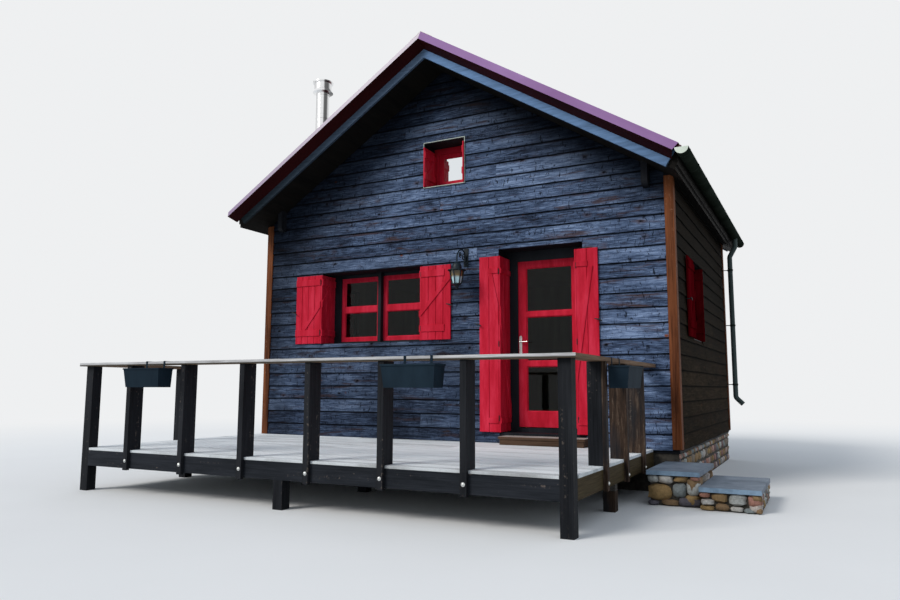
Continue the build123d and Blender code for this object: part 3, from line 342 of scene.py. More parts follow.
# %% Patterns and bumps
def noise(tree, vector, scale, detail=4.0, roughness=0.55, distortion=0.0):
    """Cloudy pattern, from 0 to 1."""
    return add(tree, "TexNoise", {"Vector": vector, "Scale": scale, "Detail": detail,
                                  "Roughness": roughness,
                                  "Distortion": distortion}).outputs["Fac"]


def stretched(tree, vector, scale):
    """Coordinates multiplied by a factor on each axis, to draw a pattern out into grain."""
    return add(tree, "VectorMath", {0: vector, 1: scale}, operation="MULTIPLY").outputs[0]


def object_place(tree):
    """Place on the object, in metres."""
    return add(tree, "TexCoord").outputs["Object"]


def emboss(tree, shader, height, strength, distance):
    """Bumps from a height value on a shader."""
    node = add(tree, "Bump", {"Strength": strength, "Distance": distance, "Height": height})
    tree.links.new(node.outputs[0], shader.inputs["Normal"])


print("pattern helpers: noise, stretched, emboss")

# %% [markdown]
# ## Light and floor
#
# The light is that of a bright, hazy day: a pale sky all round and one very broad sun from
# the front and the left, so that the right wall stays in shade and the verges throw a soft
# shadow on the gable. A picture of a real sky could light the house, but it would tint every
# paint. A plain sky shows the paints as they are. It is palest where the eye, a mirror or a
# pane looks at it, and weaker where it lights the house, so that pale paint doesn't burn out.

# %% Sky and sun
SKY_COLOUR, SKY_STRENGTH = (0.80, 0.89, 1.0), 0.62
SUN_WAY, SUN_STRENGTH, SUN_SPREAD = np.array([0.42, 0.72, -0.62]), 1.9, 24
SUN_COLOUR = (1.0, 0.97, 0.92)
BACKDROP = (0.86, 0.87, 0.88)


def seen(tree):
    """1 for rays from the eye, off a mirror or through a pane, else 0."""
    path = add(tree, "LightPath")
    rays = calc(tree, "MAXIMUM", path.outputs["Is Camera Ray"], path.outputs["Is Glossy Ray"])
    return calc(tree, "MAXIMUM", rays, path.outputs["Is Transmission Ray"])


def make_sky():
    """World of one plain colour: the backdrop where it is seen, soft sky where it lights."""
    world = bpy.data.worlds.new("sky")
    bpy.context.scene.world = world
    world.use_nodes = True
    tree = world.node_tree
    tree.nodes.clear()
    shown = add(tree, "Background", {"Color": (*BACKDROP, 1)})
    lit = add(tree, "Background", {"Color": (*SKY_COLOUR, 1), "Strength": SKY_STRENGTH})
    either = add(tree, "MixShader", {0: seen(tree), 1: lit.outputs[0], 2: shown.outputs[0]})
    add(tree, "OutputWorld", {0: either.outputs[0]})


def make_sun():
    """Broad sun: the lamp shines along its own -Z, so its Z is turned against the light."""
    lamp = bpy.data.lights.new("sun", "SUN")
    lamp.energy, lamp.angle, lamp.color = SUN_STRENGTH, math.radians(SUN_SPREAD), SUN_COLOUR
    sun = bpy.data.objects.new("sun", lamp)
    bpy.context.collection.objects.link(sun)
    facing_back = np.eye(4)
    facing_back[:3, :3] = np.stack(across_and_up(-SUN_WAY), axis=1)
    sun.matrix_world = Matrix(facing_back.tolist())


make_sky()
make_sun()
bpy.context.scene.view_settings.view_transform = "Standard"
print("sky", SKY_STRENGTH, "sun", SUN_STRENGTH)

# %% [markdown]
# The floor is a plain pale plane that takes the house's shadow. It is pale to the eye and
# duller to the light, so that it doesn't brighten the eaves from below. Far away it fades
# into the backdrop's colour, and no horizon shows.

# %% Floor
FLOOR_PALE, FLOOR_DULL, FLOOR_HALF = (0.84, 0.84, 0.84), (0.30, 0.30, 0.28), 60.0
FADE_START, FADE_END = 5.0, 22.0


def floor_paint():
    """Pale paint that takes shadows and fades into the backdrop's colour far away."""
    material, tree, shader = new_finish("floor_paint", 0.9, Specular_IOR_Level=0.0)
    eye = seen(tree)
    dust = noise(tree, object_place(tree), 0.35)
    pale = ramp(tree, dust, [(0.3, FLOOR_PALE), (0.7, tuple(1.03 * c for c in FLOOR_PALE))])
    tree.links.new(blend(tree, eye, FLOOR_DULL, pale), shader.inputs["Base Color"])
    away = add(tree, "VectorMath", {0: object_place(tree)}, operation="LENGTH").outputs["Value"]
    far = add(tree, "MapRange", {0: away, 1: FADE_START, 2: FADE_END},
              interpolation_type="SMOOTHSTEP")
    glow = add(tree, "Emission", {"Color": (*BACKDROP, 1)})
    fade = add(tree, "MixShader", {0: calc(tree, "MULTIPLY", far.outputs[0], eye),
                                   1: shader.outputs[0], 2: glow.outputs[0]})
    tree.links.new(fade.outputs[0], tree.nodes["Material Output"].inputs[0])
    return material


floor_mesh = bpy.data.meshes.new("floor")
floor_mesh.from_pydata([(-FLOOR_HALF, -FLOOR_HALF, 0), (FLOOR_HALF, -FLOOR_HALF, 0),
                        (FLOOR_HALF, FLOOR_HALF, 0), (-FLOOR_HALF, FLOOR_HALF, 0)],
                       [], [(0, 1, 2, 3)])
floor_mesh.materials.append(floor_paint())
floor = bpy.data.objects.new("floor", floor_mesh)
bpy.context.collection.objects.link(floor)
print("floor", 2 * FLOOR_HALF, "m across")

# %% [markdown]
# ## Cladding
#
# The boards were brushed with a blue-black stain. It has weathered to steel blue where the rain
# reaches, and the palest blue is partly a painted sheen of the sky. Under the verges the boards
# are near black: partly stain that the rain hasn't washed, partly painted shade. Low on the left
# they are darker than beside the door. The side and back walls are darkest high up, as painted
# shade of the eaves. All this could be painted on a picture wrapped round the house, which would
# blur close by. Three masks say it instead: each reads the place on the house, so the colour is
# sharp and right from every side.

# %% Where rain and shade reach
RIDGE_TOP, ROOF_THICK, SOFFIT_GAP, PITCH = 5.940, 0.255, 0.004, math.radians(32.2)
ROOF_TAN = math.tan(PITCH)
ROOF_SOFFIT = RIDGE_TOP - ROOF_THICK / math.cos(PITCH) - SOFFIT_GAP


def verge_shade_and_weathering(tree):
    """Mask of painted shade under the verges and of stain that the rain hasn't washed: 0 at a
    gable's soffit, 1 in the open.

    The depth below the roof's slope is multiplied by a reach that grows to the right, so the
    painted shade of the left verge reaches further down, with clouds added to it, and spread from
    0 to 1.
    """
    place = add(tree, "SeparateXYZ", {0: object_place(tree)})
    aside = calc(tree, "SUBTRACT", place.outputs[0], float(BASE[0]))
    soffit = calc(tree, "SUBTRACT", ROOF_SOFFIT,
                  calc(tree, "MULTIPLY", calc(tree, "ABSOLUTE", aside), ROOF_TAN))
    below = calc(tree, "SUBTRACT", soffit, place.outputs[2])
    reach = calc(tree, "MULTIPLY", calc(tree, "ADD", aside, HALF_WIDTH + 0.4), 0.42)
    cloudy = calc(tree, "MULTIPLY", noise(tree, object_place(tree), 1.7, 3.0), 0.9)
    out_of_verge_shade = calc(tree, "MULTIPLY", below, calc(tree, "ADD", reach, cloudy))
    return add(tree, "MapRange", {0: out_of_verge_shade, 1: 0.10, 2: 2.5},
               interpolation_type="SMOOTHSTEP").outputs[0]


def darker_low_left(tree):
    """Share of darkening: a cloudy pattern low on the left, faded out to the right and upwards."""
    place = add(tree, "SeparateXYZ", {0: object_place(tree)})
    left = add(tree, "MapRange", {0: place.outputs[0], 1: float(BASE[0]) + 2.1,
                                  2: float(BASE[0]) - 0.1}, interpolation_type="SMOOTHSTEP")
    low = add(tree, "MapRange", {0: place.outputs[2], 1: 3.5, 2: 2.3},
              interpolation_type="SMOOTHSTEP")
    patchy = ramp(tree, noise(tree, object_place(tree), 1.3, 3.0), [(0.35, 0.42), (0.65, 0.78)])
    return calc(tree, "MULTIPLY", patchy, calc(tree, "MULTIPLY", left.outputs[0],
                                               low.outputs[0]))


def eaves_shade(tree):
    """Depth of the dark high on a side or back wall: it grows with the height, up to 0.72."""
    height = add(tree, "SeparateXYZ", {0: object_place(tree)}).outputs[2]
    return add(tree, "MapRange", {0: height, 1: 1.2, 2: 2.7, 4: 0.72},
               interpolation_type="SMOOTHSTEP").outputs[0]


print("soffit under the ridge at", round(ROOF_SOFFIT, 3), "m")

# %% [markdown]
# Fine fibres and broad streaks run along each board. Knots show as black or rusty spots, some with
# a brown rim. Under each lap lies a dark line of painted shadow with some grime, and the lower
# edge is darkened as painted shade. The pattern follows the board, so it is laid out on an
# attribute, grain, that holds the place along and across the board and a number of its own for
# every board. Each kind of mark is a short function.

# %% Marks on a board
COURSE_START, COURSE_STEP, COURSE_LAP = 0.470, 0.1853, 0.030


def board_tone(tree, grain, own):
    """Lightness of a board: streaks, fibres, clouds and the board's own tone, summed."""
    fibre = noise(tree, stretched(tree, grain, (6.0, 70.0, 3.0)), 1.0, 6.0, 0.75, 0.4)
    streak = noise(tree, stretched(tree, grain, (1.7, 24.0, 2.0)), 1.0, 5.0, 0.66, 0.6)
    cloud = noise(tree, stretched(tree, grain, (1.3, 5.0, 5.0)), 1.0, 4.0, 0.62, 0.3)
    tone = add(tree, "TexWhiteNoise", {"W": own}, noise_dimensions="1D").outputs["Value"]
    total = calc(tree, "MULTIPLY", streak, 0.40)
    for part, share in ((fibre, 0.66), (cloud, 0.30), (tone, 0.14)):
        total = calc(tree, "ADD", total, calc(tree, "MULTIPLY", part, share))
    return total, fibre, streak


def knots(tree, grain):
    """Distance from the nearest knot, with a ragged edge, and that knot's own number."""
    ragged = calc(tree, "MULTIPLY", noise(tree, stretched(tree, grain, (30.0, 30.0, 3.0)), 1.0,
                                          4.0, 0.7), 0.22)
    cells = add(tree, "TexVoronoi", {"Vector": stretched(tree, grain, (4.5, 7.0, 11.0)),
                                     "Scale": 1.0, "Randomness": 1.0})
    number = add(tree, "SeparateColor", {0: cells.outputs["Color"]}).outputs[0]
    return calc(tree, "ADD", cells.outputs["Distance"], ragged), number


def lap_shadow_and_grime(tree, across, streak):
    """Painted shadow with some grime in a wavy line where the next board laps over, and painted
    shade along the lower edge.
    """
    wavy = calc(tree, "ADD", across, calc(tree, "MULTIPLY", streak, 0.016))
    shadow_and_grime_under_lap = add(tree, "MapRange", {0: wavy, 1: COURSE_STEP - 0.016, 2: COURSE_STEP + 0.004})
    edge = add(tree, "MapRange", {0: across, 1: 0.010, 2: 0.002})
    return calc(tree, "MAXIMUM", shadow_and_grime_under_lap.outputs[0], calc(tree, "MULTIPLY", edge.outputs[0], 0.85))


print("marks ready: board_tone, knots, lap_shadow_and_grime")

# %% [markdown]
# The stain comes in two mixes: blue-black on the front, and on the side and back walls a brown
# made almost black as painted shade, for the right wall lies in shade. Two trees could hold them,
# but a change would then be made twice, so both are one recipe. It takes four shades from dark to
# pale and a warm tone for thin places. Knots and cracks go over them in turn, as they came in
# life, and then the painted shadow and grime under the laps and a last darkening.

# %% Two stains
RUST = (0.200, 0.062, 0.030)


def stained_boards(name, shades, warm, rust, roughness, front_masks=False):
    """Weathered stain over sawn boards: shades from black to pale, warm patches, rusty knots."""
    material, tree, shader = new_finish(name, roughness, Specular_IOR_Level=0.03)
    grain = add(tree, "Attribute", attribute_name="grain").outputs["Vector"]
    parts = add(tree, "SeparateXYZ", {0: grain})
    tone, fibre, streak = board_tone(tree, grain, parts.outputs[2])
    colour = ramp(tree, tone, list(zip((0.57, 0.67, 0.77, 0.90), shades)))
    browned = noise(tree, stretched(tree, grain, (1.1, 9.0, 9.0)), 1.0, 5.0, 0.7, 0.5)
    colour = blend(tree, ramp(tree, browned, [(0.55, 0.0), (0.66, 0.85)]), colour, warm)
    from_knot, number = knots(tree, grain)
    spot = ramp(tree, from_knot, [(0.17, 1.0), (0.27, 0.0)])
    rim = calc(tree, "MULTIPLY", ramp(tree, from_knot, [(0.20, 0.80), (0.46, 0.0)]),
               calc(tree, "GREATER_THAN", number, 0.62))
    rim = calc(tree, "MULTIPLY", rim, ramp(tree, browned, [(0.44, 0.12), (0.58, 1.0)]))
    dark_spot = calc(tree, "MULTIPLY", spot, calc(tree, "GREATER_THAN", number, 0.50))
    rusty_spot = calc(tree, "MULTIPLY", spot, calc(tree, "LESS_THAN", number, 0.09))
    cracks = ramp(tree, noise(tree, stretched(tree, grain, (34.0, 12.0, 2.0)), 1.0, 4.0, 0.65,
                              0.8), [(0.35, 0.90), (0.42, 0.0)])
    black = tuple(0.35 * c for c in shades[0])
    layers = [(rim, tuple(1.3 * c for c in warm)), (dark_spot, tuple(0.3 * c for c in shades[0])),
              (rusty_spot, rust), (cracks, shades[0]),
              # Painted shadow with some grime under each lap, and painted shade on the lower edge.
              (lap_shadow_and_grime(tree, parts.outputs[1], streak), tuple(0.12 * c for c in shades[0])),
              # Last layer: near black, low on the left of the front, and on the other walls as
              # painted shade high under the eaves.
              (darker_low_left(tree) if front_masks else eaves_shade(tree), black)]
    for amount, over in layers:
        colour = blend(tree, amount, colour, over)
    if front_masks:
        # Painted shade under the verges, with stain that the rain hasn't washed: where the mask is
        # 0 the colour goes to near black.
        colour = blend(tree, verge_shade_and_weathering(tree), blend(tree, 0.88, colour, black), colour)
    tree.links.new(colour, shader.inputs["Base Color"])
    emboss(tree, shader, calc(tree, "ADD", fibre, calc(tree, "MULTIPLY", spot, 0.8)), 0.6, 0.004)
    return material


# Its palest, bluest shade is partly a painted sheen of the sky on the boards.
blue_black_stain = stained_boards(
    "blue_black_stain", [(0.006, 0.008, 0.014), (0.032, 0.048, 0.090), (0.094, 0.140, 0.245),
                         (0.260, 0.350, 0.540)], (0.062, 0.036, 0.034), RUST, 0.6, True)
# The near-black brown of the side and back walls is painted shade.
shaded_stain = stained_boards(
    "shaded_stain", [(0.003, 0.002, 0.001), (0.008, 0.006, 0.004), (0.019, 0.013, 0.007),
                     (0.042, 0.028, 0.016)], (0.024, 0.013, 0.008), (0.10, 0.035, 0.014), 0.85)
print("stains:", blue_black_stain.name, shaded_stain.name)

# %% [markdown]
# Each course of cladding is a board about 18 cm to the weather. It stands off the wall at
# its lower edge, lies under the next course at its upper edge, and its lower edge wanders a
# little, as sawn boards do. Grooves in a flat wall would be cheaper, but only real laps throw
# a shadow and show their steps at the corners. A board is cut where a window, the door or a
# beam's end is in the way, so a course is first divided into the stretches that are free.

# %% Courses and their free stretches
BOARD_PROFILE = np.array([(0.0, 0.002), (0.0, 0.0205), (0.012, 0.0240), (0.30, 0.0195),
                          (0.60, 0.0140), (0.88, 0.0095), (1.0, 0.0080), (1.0, 0.0005)])
random = np.random.default_rng(7)


def wander(u, size, seed):
    """Slow waver along a board: three sine waves of unlike length and chance phase."""
    dice = np.random.default_rng(seed)
    waves = [np.sin(2 * np.pi * u / length + dice.uniform(0, 6.3)) / (i + 1)
             for i, length in enumerate(dice.uniform((1.1, 0.45, 0.17), (1.9, 0.8, 0.3)))]
    return size * sum(waves) / 1.8


def free_stretches(u0, u1, z0, z1, openings):
    """Stretches of a course with the heights left free: openings shorten or cut them."""
    openings = [o for o in openings if o[2] < z1 and o[3] > z0]
    edges = sorted({u0, u1, *[min(max(e, u0), u1) for o in openings for e in o[:2]]})
    for a, b in zip(edges[:-1], edges[1:]):
        low, high = z0 - 1, z1 + 1
        middle = (a + b) / 2
        for o in openings:
            if o[0] < middle < o[1]:
                if o[2] <= z0 + 0.01 and o[3] >= z1 - 0.01:
                    low, high = 1, 0
                elif o[3] < z1 - 0.01:
                    low = max(low, o[3])
                else:
                    high = min(high, o[2])
        if high - low > 0.02 and b - a > 0.01:
            yield a, b, low, high


print("a course round a post:", list(free_stretches(0, 4, 1.0, 1.2, [(1, 2, 0, 3)])))

# %% [markdown]
# A board is one section of eight points, carried along the wall, with the heights worked out
# for all its stations at once, and its top follows the slope of the roof. A wall is filled
# course by course, with boards two to five metres long.

# %% One board and a whole wall
def course_board(a, b, low, high, course, roof, seed, station):
    """One board: lower edge wavering, upper edge straight or cut under the roof's slope."""
    u = np.linspace(a, b, max(2, int((b - a) / station) + 2))
    start = COURSE_START + course * COURSE_STEP
    bottom = np.maximum(start + wander(u, 0.006, course), low)
    top = np.minimum(np.minimum(start + COURSE_STEP + COURSE_LAP, high), roof(u))
    bottom = np.minimum(bottom, top - 0.0005)
    t, out = BOARD_PROFILE[:, 0], BOARD_PROFILE[:, 1]
    z = bottom[:, None] + t * (top - bottom)[:, None]
    n = out + (out > 0.004) * wander(u, 0.0012, seed)[:, None]
    local = np.stack([np.broadcast_to(u[:, None], z.shape), n, z], axis=-1)
    own = np.full(z.shape, float(seed % 97))
    grain = np.stack([local[..., 0] + 13.7 * (seed % 31), z - start, own], axis=-1)
    return local, grain.reshape(-1, 3)


def clad(side, u0, u1, roof, openings, material, courses, station=0.045):
    """All courses of a wall, each made of boards two to five metres long."""
    parts, grains = [], []
    for course in range(courses):
        z0 = COURSE_START + course * COURSE_STEP
        z1 = z0 + COURSE_STEP + COURSE_LAP
        joint = u0
        while joint < u1:
            end = min(joint + random.uniform(2.0, 5.0), u1)
            end = u1 if u1 - end < 0.6 else end
            seed = int(random.integers(1, 9999))
            for a, b, low, high in free_stretches(joint, end - 0.002, z0, z1, openings):
                inside = np.linspace(a, b, 60)
                inside = inside[roof(inside) > max(z0, low) + 0.012]
                if len(inside) < 2 or inside[-1] - inside[0] < 0.03:
                    continue
                local, grain = course_board(inside[0], inside[-1], low, high, course, roof,
                                            seed, station)
                parts.append(skin(placed(local, *WALLS[side])))
                grains.append(grain)
            joint = end
    return make_piece(f"cladding_{side}", parts, material, grain=grains, smooth=30)


print("board section:", BOARD_PROFILE.tolist())

# %% [markdown]
# The openings below are those of the wall itself, with the ends of the wall plates, which
# poke through the gable under the eaves. Under the slope, the boards stop at the underside
# of the roof panels. They could be cut with a boolean after they are made. A function of the
# place along the wall gives the height at once, with no stray edges.

# %% Cladding on the four walls
WINDOW = (-2.030, -0.310, 1.822, 2.872)
DOORWAY = (0.844, 1.984, 0.0, 3.000)
LOFT = (-0.286, 0.344, 3.980, 4.618)
SIDE_WINDOW = (1.150, 1.950, 1.822, 2.872)
BEAM_ENDS = [(-2.834, -2.752, 3.587, 4.2), (2.752, 2.834, 3.587, 4.2)]
CORNER = 0.077


def gable_roof(u):
    """Underside of the roof over an end wall: the ridge's height less the slope times |u|."""
    return ROOF_SOFFIT - np.abs(u) * ROOF_TAN


def eaves(u):
    """Underside of the roof over a side wall: one height."""
    return np.full(np.shape(u), ROOF_SOFFIT - (HALF_WIDTH + 0.03) * ROOF_TAN)


clad("front", CORNER - HALF_WIDTH, HALF_WIDTH - CORNER, gable_roof,
     [WINDOW, DOORWAY, LOFT, *BEAM_ENDS], blue_black_stain, 28)
clad("back", CORNER - HALF_WIDTH, HALF_WIDTH - CORNER, gable_roof, BEAM_ENDS,
     shaded_stain, 28, 0.07)
for side in ("right", "left"):
    clad(side, CORNER, HOUSE_LENGTH - CORNER, eaves, [SIDE_WINDOW], shaded_stain, 18, 0.06)

# %% [markdown]
# ## Timber
#
# Posts, rails, beams and boards share one recipe: fibres drawn out along the piece, broad
# clouds of tone, and pale worn specks where the stain has been knocked off. A picture of wood
# would repeat on a long beam, and noise does not. The colours, the way of the grain and the
# amount of wear differ from piece to piece.

# %% Timber finishes
GRAIN_ALONG = {"X": (2.0, 60.0, 60.0), "Y": (60.0, 2.0, 60.0), "Z": (60.0, 60.0, 2.0),
               "level": (2.4, 2.4, 70.0)}


def timber(name, dark, pale, along, roughness=0.7, wear=None, worn=(0.35, 0.28, 0.22),
           bump=0.35):
    """Wood grain: fibres along one axis plus clouds pick a tone between dark and pale.

    If wear is given, specks multiplied by streaks show the worn colour above that limit.
    """
    material, tree, shader = new_finish(name, roughness, Specular_IOR_Level=0.08)
    where = object_place(tree)
    fibre = noise(tree, stretched(tree, where, GRAIN_ALONG[along]), 1.0, 7.0, 0.7, 0.2)
    cloud = noise(tree, stretched(tree, where, tuple(min(6.0, 0.4 * v) for v in
                                                     GRAIN_ALONG[along])), 1.0, 3.0, 0.6)
    depth = calc(tree, "ADD", calc(tree, "MULTIPLY", fibre, 0.55),
                 calc(tree, "MULTIPLY", cloud, 0.5))
    colour = ramp(tree, depth, [(0.36, dark), (0.72, pale)])
    if wear:
        specks = noise(tree, where, 26.0, 5.0, 0.75)
        streaks = noise(tree, stretched(tree, where, tuple(0.35 * v for v in
                                                           GRAIN_ALONG[along])), 1.0, 5.0, 0.7)
        mask = ramp(tree, calc(tree, "MULTIPLY", specks, streaks), [(wear, 0.0),
                                                                   (wear + 0.07, 0.8)])
        colour = blend(tree, mask, colour, worn)
    tree.links.new(colour, shader.inputs["Base Color"])
    emboss(tree, shader, fibre, bump, 0.003)
    return material, tree, shader, colour


corner_timber = timber("corner_timber", (0.020, 0.005, 0.002), (0.290, 0.094, 0.036), "Z", 0.62,
                       0.33, (0.34, 0.17, 0.10))[0]
aged_timber = timber("aged_timber", (0.060, 0.055, 0.050), (0.190, 0.180, 0.165), "Y")[0]
soffit_timber = timber("soffit_timber", (0.003, 0.003, 0.003), (0.014, 0.012, 0.010), "Y")[0]
black_timber = timber("black_timber", (0.006, 0.007, 0.010), (0.022, 0.024, 0.030), "Z", 0.55)[0]
print("timber:", corner_timber.name, black_timber.name)

# %% [markdown]
# Some timbers need a second colour on some faces. The deck's rim is black in front but plain
# brown on its right side, and the door step is worn pale on top. Each face could be given a
# material of its own, but the CAD solids are left as they are. The face's own direction
# tells them apart instead, so the colour stays put from every side.

# %% Timber with two faces
def facing(tree, axis, limit):
    """1 where a face looks along an axis of the object by more than a limit, else 0."""
    normal = add(tree, "TexCoord").outputs["Normal"]
    part = add(tree, "SeparateXYZ", {0: normal}).outputs[axis]
    return calc(tree, "GREATER_THAN", part, limit)


def two_faced(name, first, second, along, axis, limit, roughness=0.7, wear=None,
              worn=(0.3, 0.24, 0.2)):
    """Timber whose faces along one direction take the second pair of colours."""
    material, tree, shader, colour = timber(name, *first, along, roughness, wear, worn)
    where = object_place(tree)
    fibre = noise(tree, stretched(tree, where, GRAIN_ALONG[along]), 1.0, 7.0, 0.7, 0.2)
    other = ramp(tree, fibre, [(0.32, second[0]), (0.68, second[1])])
    mask = facing(tree, axis, limit)
    tree.links.new(blend(tree, mask, colour, other), shader.inputs["Base Color"])
    return material


rim_timber = two_faced("rim_timber", ((0.006, 0.008, 0.011), (0.034, 0.038, 0.048)),
                       ((0.026, 0.019, 0.009), (0.085, 0.062, 0.030)), "level", 0, 0.5, 0.62,
                       0.345, (0.20, 0.16, 0.14))
step_timber = two_faced("step_timber", ((0.030, 0.018, 0.012), (0.130, 0.075, 0.048)),
                        ((0.260, 0.240, 0.220), (0.500, 0.470, 0.440)), "level", 2, 0.5)
print("two-faced timber:", rim_timber.name, step_timber.name)

# %% [markdown]
# The planks and posts of the railing are near-black. On the right side of the deck, where
# hands and feet pass, the stain has worn through to brown wood in long patches. All of them
# share a few solids, so the place on the deck decides which planks are worn.

# %% Planks of the railing
RIGHT_SIDE, NEAR_RIGHT, NEAR_HOUSE = 2.783, 2.55, -1.7


def plank_timber():
    """Near-black planks, worn to brown on the deck's right side and at its end by the house."""
    material, tree, shader, black = timber("post_timber", (0.005, 0.006, 0.008),
                                           (0.028, 0.030, 0.036), "Z", 0.6, 0.335,
                                           (0.17, 0.14, 0.12))
    where = object_place(tree)
    fibre = noise(tree, stretched(tree, where, (38.0, 38.0, 3.0)), 1.0, 7.0, 0.75, 0.4)
    bare = ramp(tree, fibre, [(0.36, (0.012, 0.009, 0.008)), (0.54, (0.060, 0.036, 0.024)),
                              (0.68, (0.190, 0.140, 0.105))])
    patch = ramp(tree, noise(tree, stretched(tree, where, (5.0, 5.0, 1.4)), 1.0, 4.0),
                 [(0.36, 0.15), (0.56, 0.9)])
    place = add(tree, "SeparateXYZ", {0: where})
    right = calc(tree, "GREATER_THAN", place.outputs[0], float(BASE[0]) + RIGHT_SIDE)
    near_house = calc(tree, "GREATER_THAN", place.outputs[1], float(BASE[1]) + NEAR_HOUSE)
    beside = calc(tree, "GREATER_THAN", place.outputs[0], float(BASE[0]) + NEAR_RIGHT)
    worn = calc(tree, "MAXIMUM", right, calc(tree, "MULTIPLY", near_house, beside))
    amount = calc(tree, "MULTIPLY", worn, patch)
    tree.links.new(blend(tree, amount, black, bare), shader.inputs["Base Color"])
    return material


post_timber = plank_timber()
print("planks:", post_timber.name)

# %% [markdown]
# The handrail is a flat board on the planks. It has bleached to silver on top and along the
# upper half of its front edge. Below that the front is dark, and its other edges are still
# brown. The face's direction and the height pick one of the three, because a single board
# shows them all.

# %% Handrail
RAIL_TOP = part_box("handrails")[1][2]


def weathered_rail():
    """Handrail bleached pale on top and high on its front, dark below, brown elsewhere."""
    material, tree, shader, brown = timber("handrail_timber", (0.090, 0.055, 0.034),
                                           (0.340, 0.225, 0.150), "level")
    where = object_place(tree)
    fibre = noise(tree, stretched(tree, where, GRAIN_ALONG["level"]), 1.0, 7.0, 0.75, 0.4)
    grey = ramp(tree, fibre, [(0.34, (0.33, 0.32, 0.32)), (0.60, (0.74, 0.74, 0.76))])
    height = add(tree, "SeparateXYZ", {0: where}).outputs[2]
    low, high = RAIL_TOP - 0.030, RAIL_TOP - 0.019
    upper = add(tree, "MapRange", {0: height, 1: low, 2: high}).outputs[0]
    front = calc(tree, "SUBTRACT", 1.0, facing(tree, 1, -0.5))
    shown = calc(tree, "MAXIMUM", facing(tree, 2, 0.5), calc(tree, "MULTIPLY", front, upper))
    stained = blend(tree, front, brown, (0.050, 0.042, 0.030))
    tree.links.new(blend(tree, shown, stained, grey), shader.inputs["Base Color"])
    return material


handrail_timber = weathered_rail()
print("handrail:", handrail_timber.name, "top at", round(RAIL_TOP, 3), "m")

# %% [markdown]
# The boards under the verges are stained blue-grey. Over the stain lies painted light and shade
# that follows the roof: dark at the left eave, lighter towards the ridge and palest right of it,
# where more sky is seen. A lamp that did this would change the wall below too. So a ramp over the
# house's width holds the colours, and the fibres darken them.

# %% Bargeboards
EAVE_REACH = 3.4


def bargeboard_timber():
    """Blue-grey boards with painted light and shade: dark at the left eave, pale right of the
    ridge.
    """
    material, tree, shader, _ = timber("verge_timber_painted_light", (0.4, 0.4, 0.4), (1.0, 1.0, 1.0),
                                       "level")
    where = object_place(tree)
    aside = add(tree, "SeparateXYZ", {0: where}).outputs[0]
    share = add(tree, "MapRange", {0: aside, 1: float(BASE[0]) - EAVE_REACH,
                                   2: float(BASE[0]) + EAVE_REACH})
    # Painted light and shade across the house's width.
    tone = ramp(tree, share.outputs[0],
                [(0.02, (0.012, 0.020, 0.022)), (0.22, (0.055, 0.080, 0.115)),
                 (0.49, (0.125, 0.185, 0.285)), (0.51, (0.175, 0.310, 0.560)),
                 (0.98, (0.140, 0.240, 0.420))])
    fibre = noise(tree, stretched(tree, where, (2.4, 2.4, 34.0)), 1.0, 7.0, 0.75, 0.3)
    shade = ramp(tree, fibre, [(0.30, 0.55), (0.66, 1.15)])
    tree.links.new(blend(tree, 1.0, tone, shade, "MULTIPLY"), shader.inputs["Base Color"])
    return material


verge_timber_painted_light = bargeboard_timber()
print("bargeboards:", verge_timber_painted_light.name)

# %% [markdown]
# The walls are solid in the CAD model, and their outside is under the cladding. The room's
# side is pale boarding, and the cut reveals of door and windows are black. A box round the
# room, worked out from the wall's thickness, tells the two apart.

# %% Inside of the walls
WALL_THICK = 0.359


def wall_lining():
    """Pale boards inside the room's box, near black on the rest of the wall."""
    material, tree, shader, colour = timber("wall_lining", (0.34, 0.24, 0.15),
                                            (0.55, 0.42, 0.28), "Z", 0.6)
    place = add(tree, "SeparateXYZ", {0: object_place(tree)})
    left, right = BASE[0] - HALF_WIDTH + WALL_THICK, BASE[0] + HALF_WIDTH - WALL_THICK
    front, back = BASE[1] + WALL_THICK, BASE[1] + HOUSE_LENGTH - WALL_THICK
    inside = calc(tree, "GREATER_THAN", place.outputs[0], left)
    for value, operation, limit in ((place.outputs[0], "LESS_THAN", right),
                                    (place.outputs[1], "GREATER_THAN", front),
                                    (place.outputs[1], "LESS_THAN", back)):
        inside = calc(tree, "MULTIPLY", inside, calc(tree, operation, value, limit))
    tree.links.new(blend(tree, inside, (0.010, 0.011, 0.014), colour),
                   shader.inputs["Base Color"])
    return material


lining = wall_lining()
print("lining:", lining.name)

# %% [markdown]
# ## Paint, metal, glass and stone
#
# Most coats are even: black paint, the dark burgundy of the roof, zinc, iron, steel and
# brass. One recipe serves them all: two close shades in slow clouds, and a bump as fine as
# orange peel. They differ in colour and in how clear and how metallic their mirror is.

# %% Even coats
def painted(name, dark, pale, roughness, metallic=0.0, along=(3.0, 3.0, 1.2), bump=0.12,
            **settings):
    """Even coat with slow clouds of tone and a fine orange-peel bump."""
    material, tree, shader = new_finish(name, roughness, Metallic=metallic, **settings)
    where = object_place(tree)
    cloud = noise(tree, stretched(tree, where, along), 1.0, 4.0, 0.6)
    tree.links.new(ramp(tree, cloud, [(0.3, dark), (0.7, pale)]), shader.inputs["Base Color"])
    fine = noise(tree, where, 160.0, 3.0)
    emboss(tree, shader, fine, bump, 0.001)
    return material


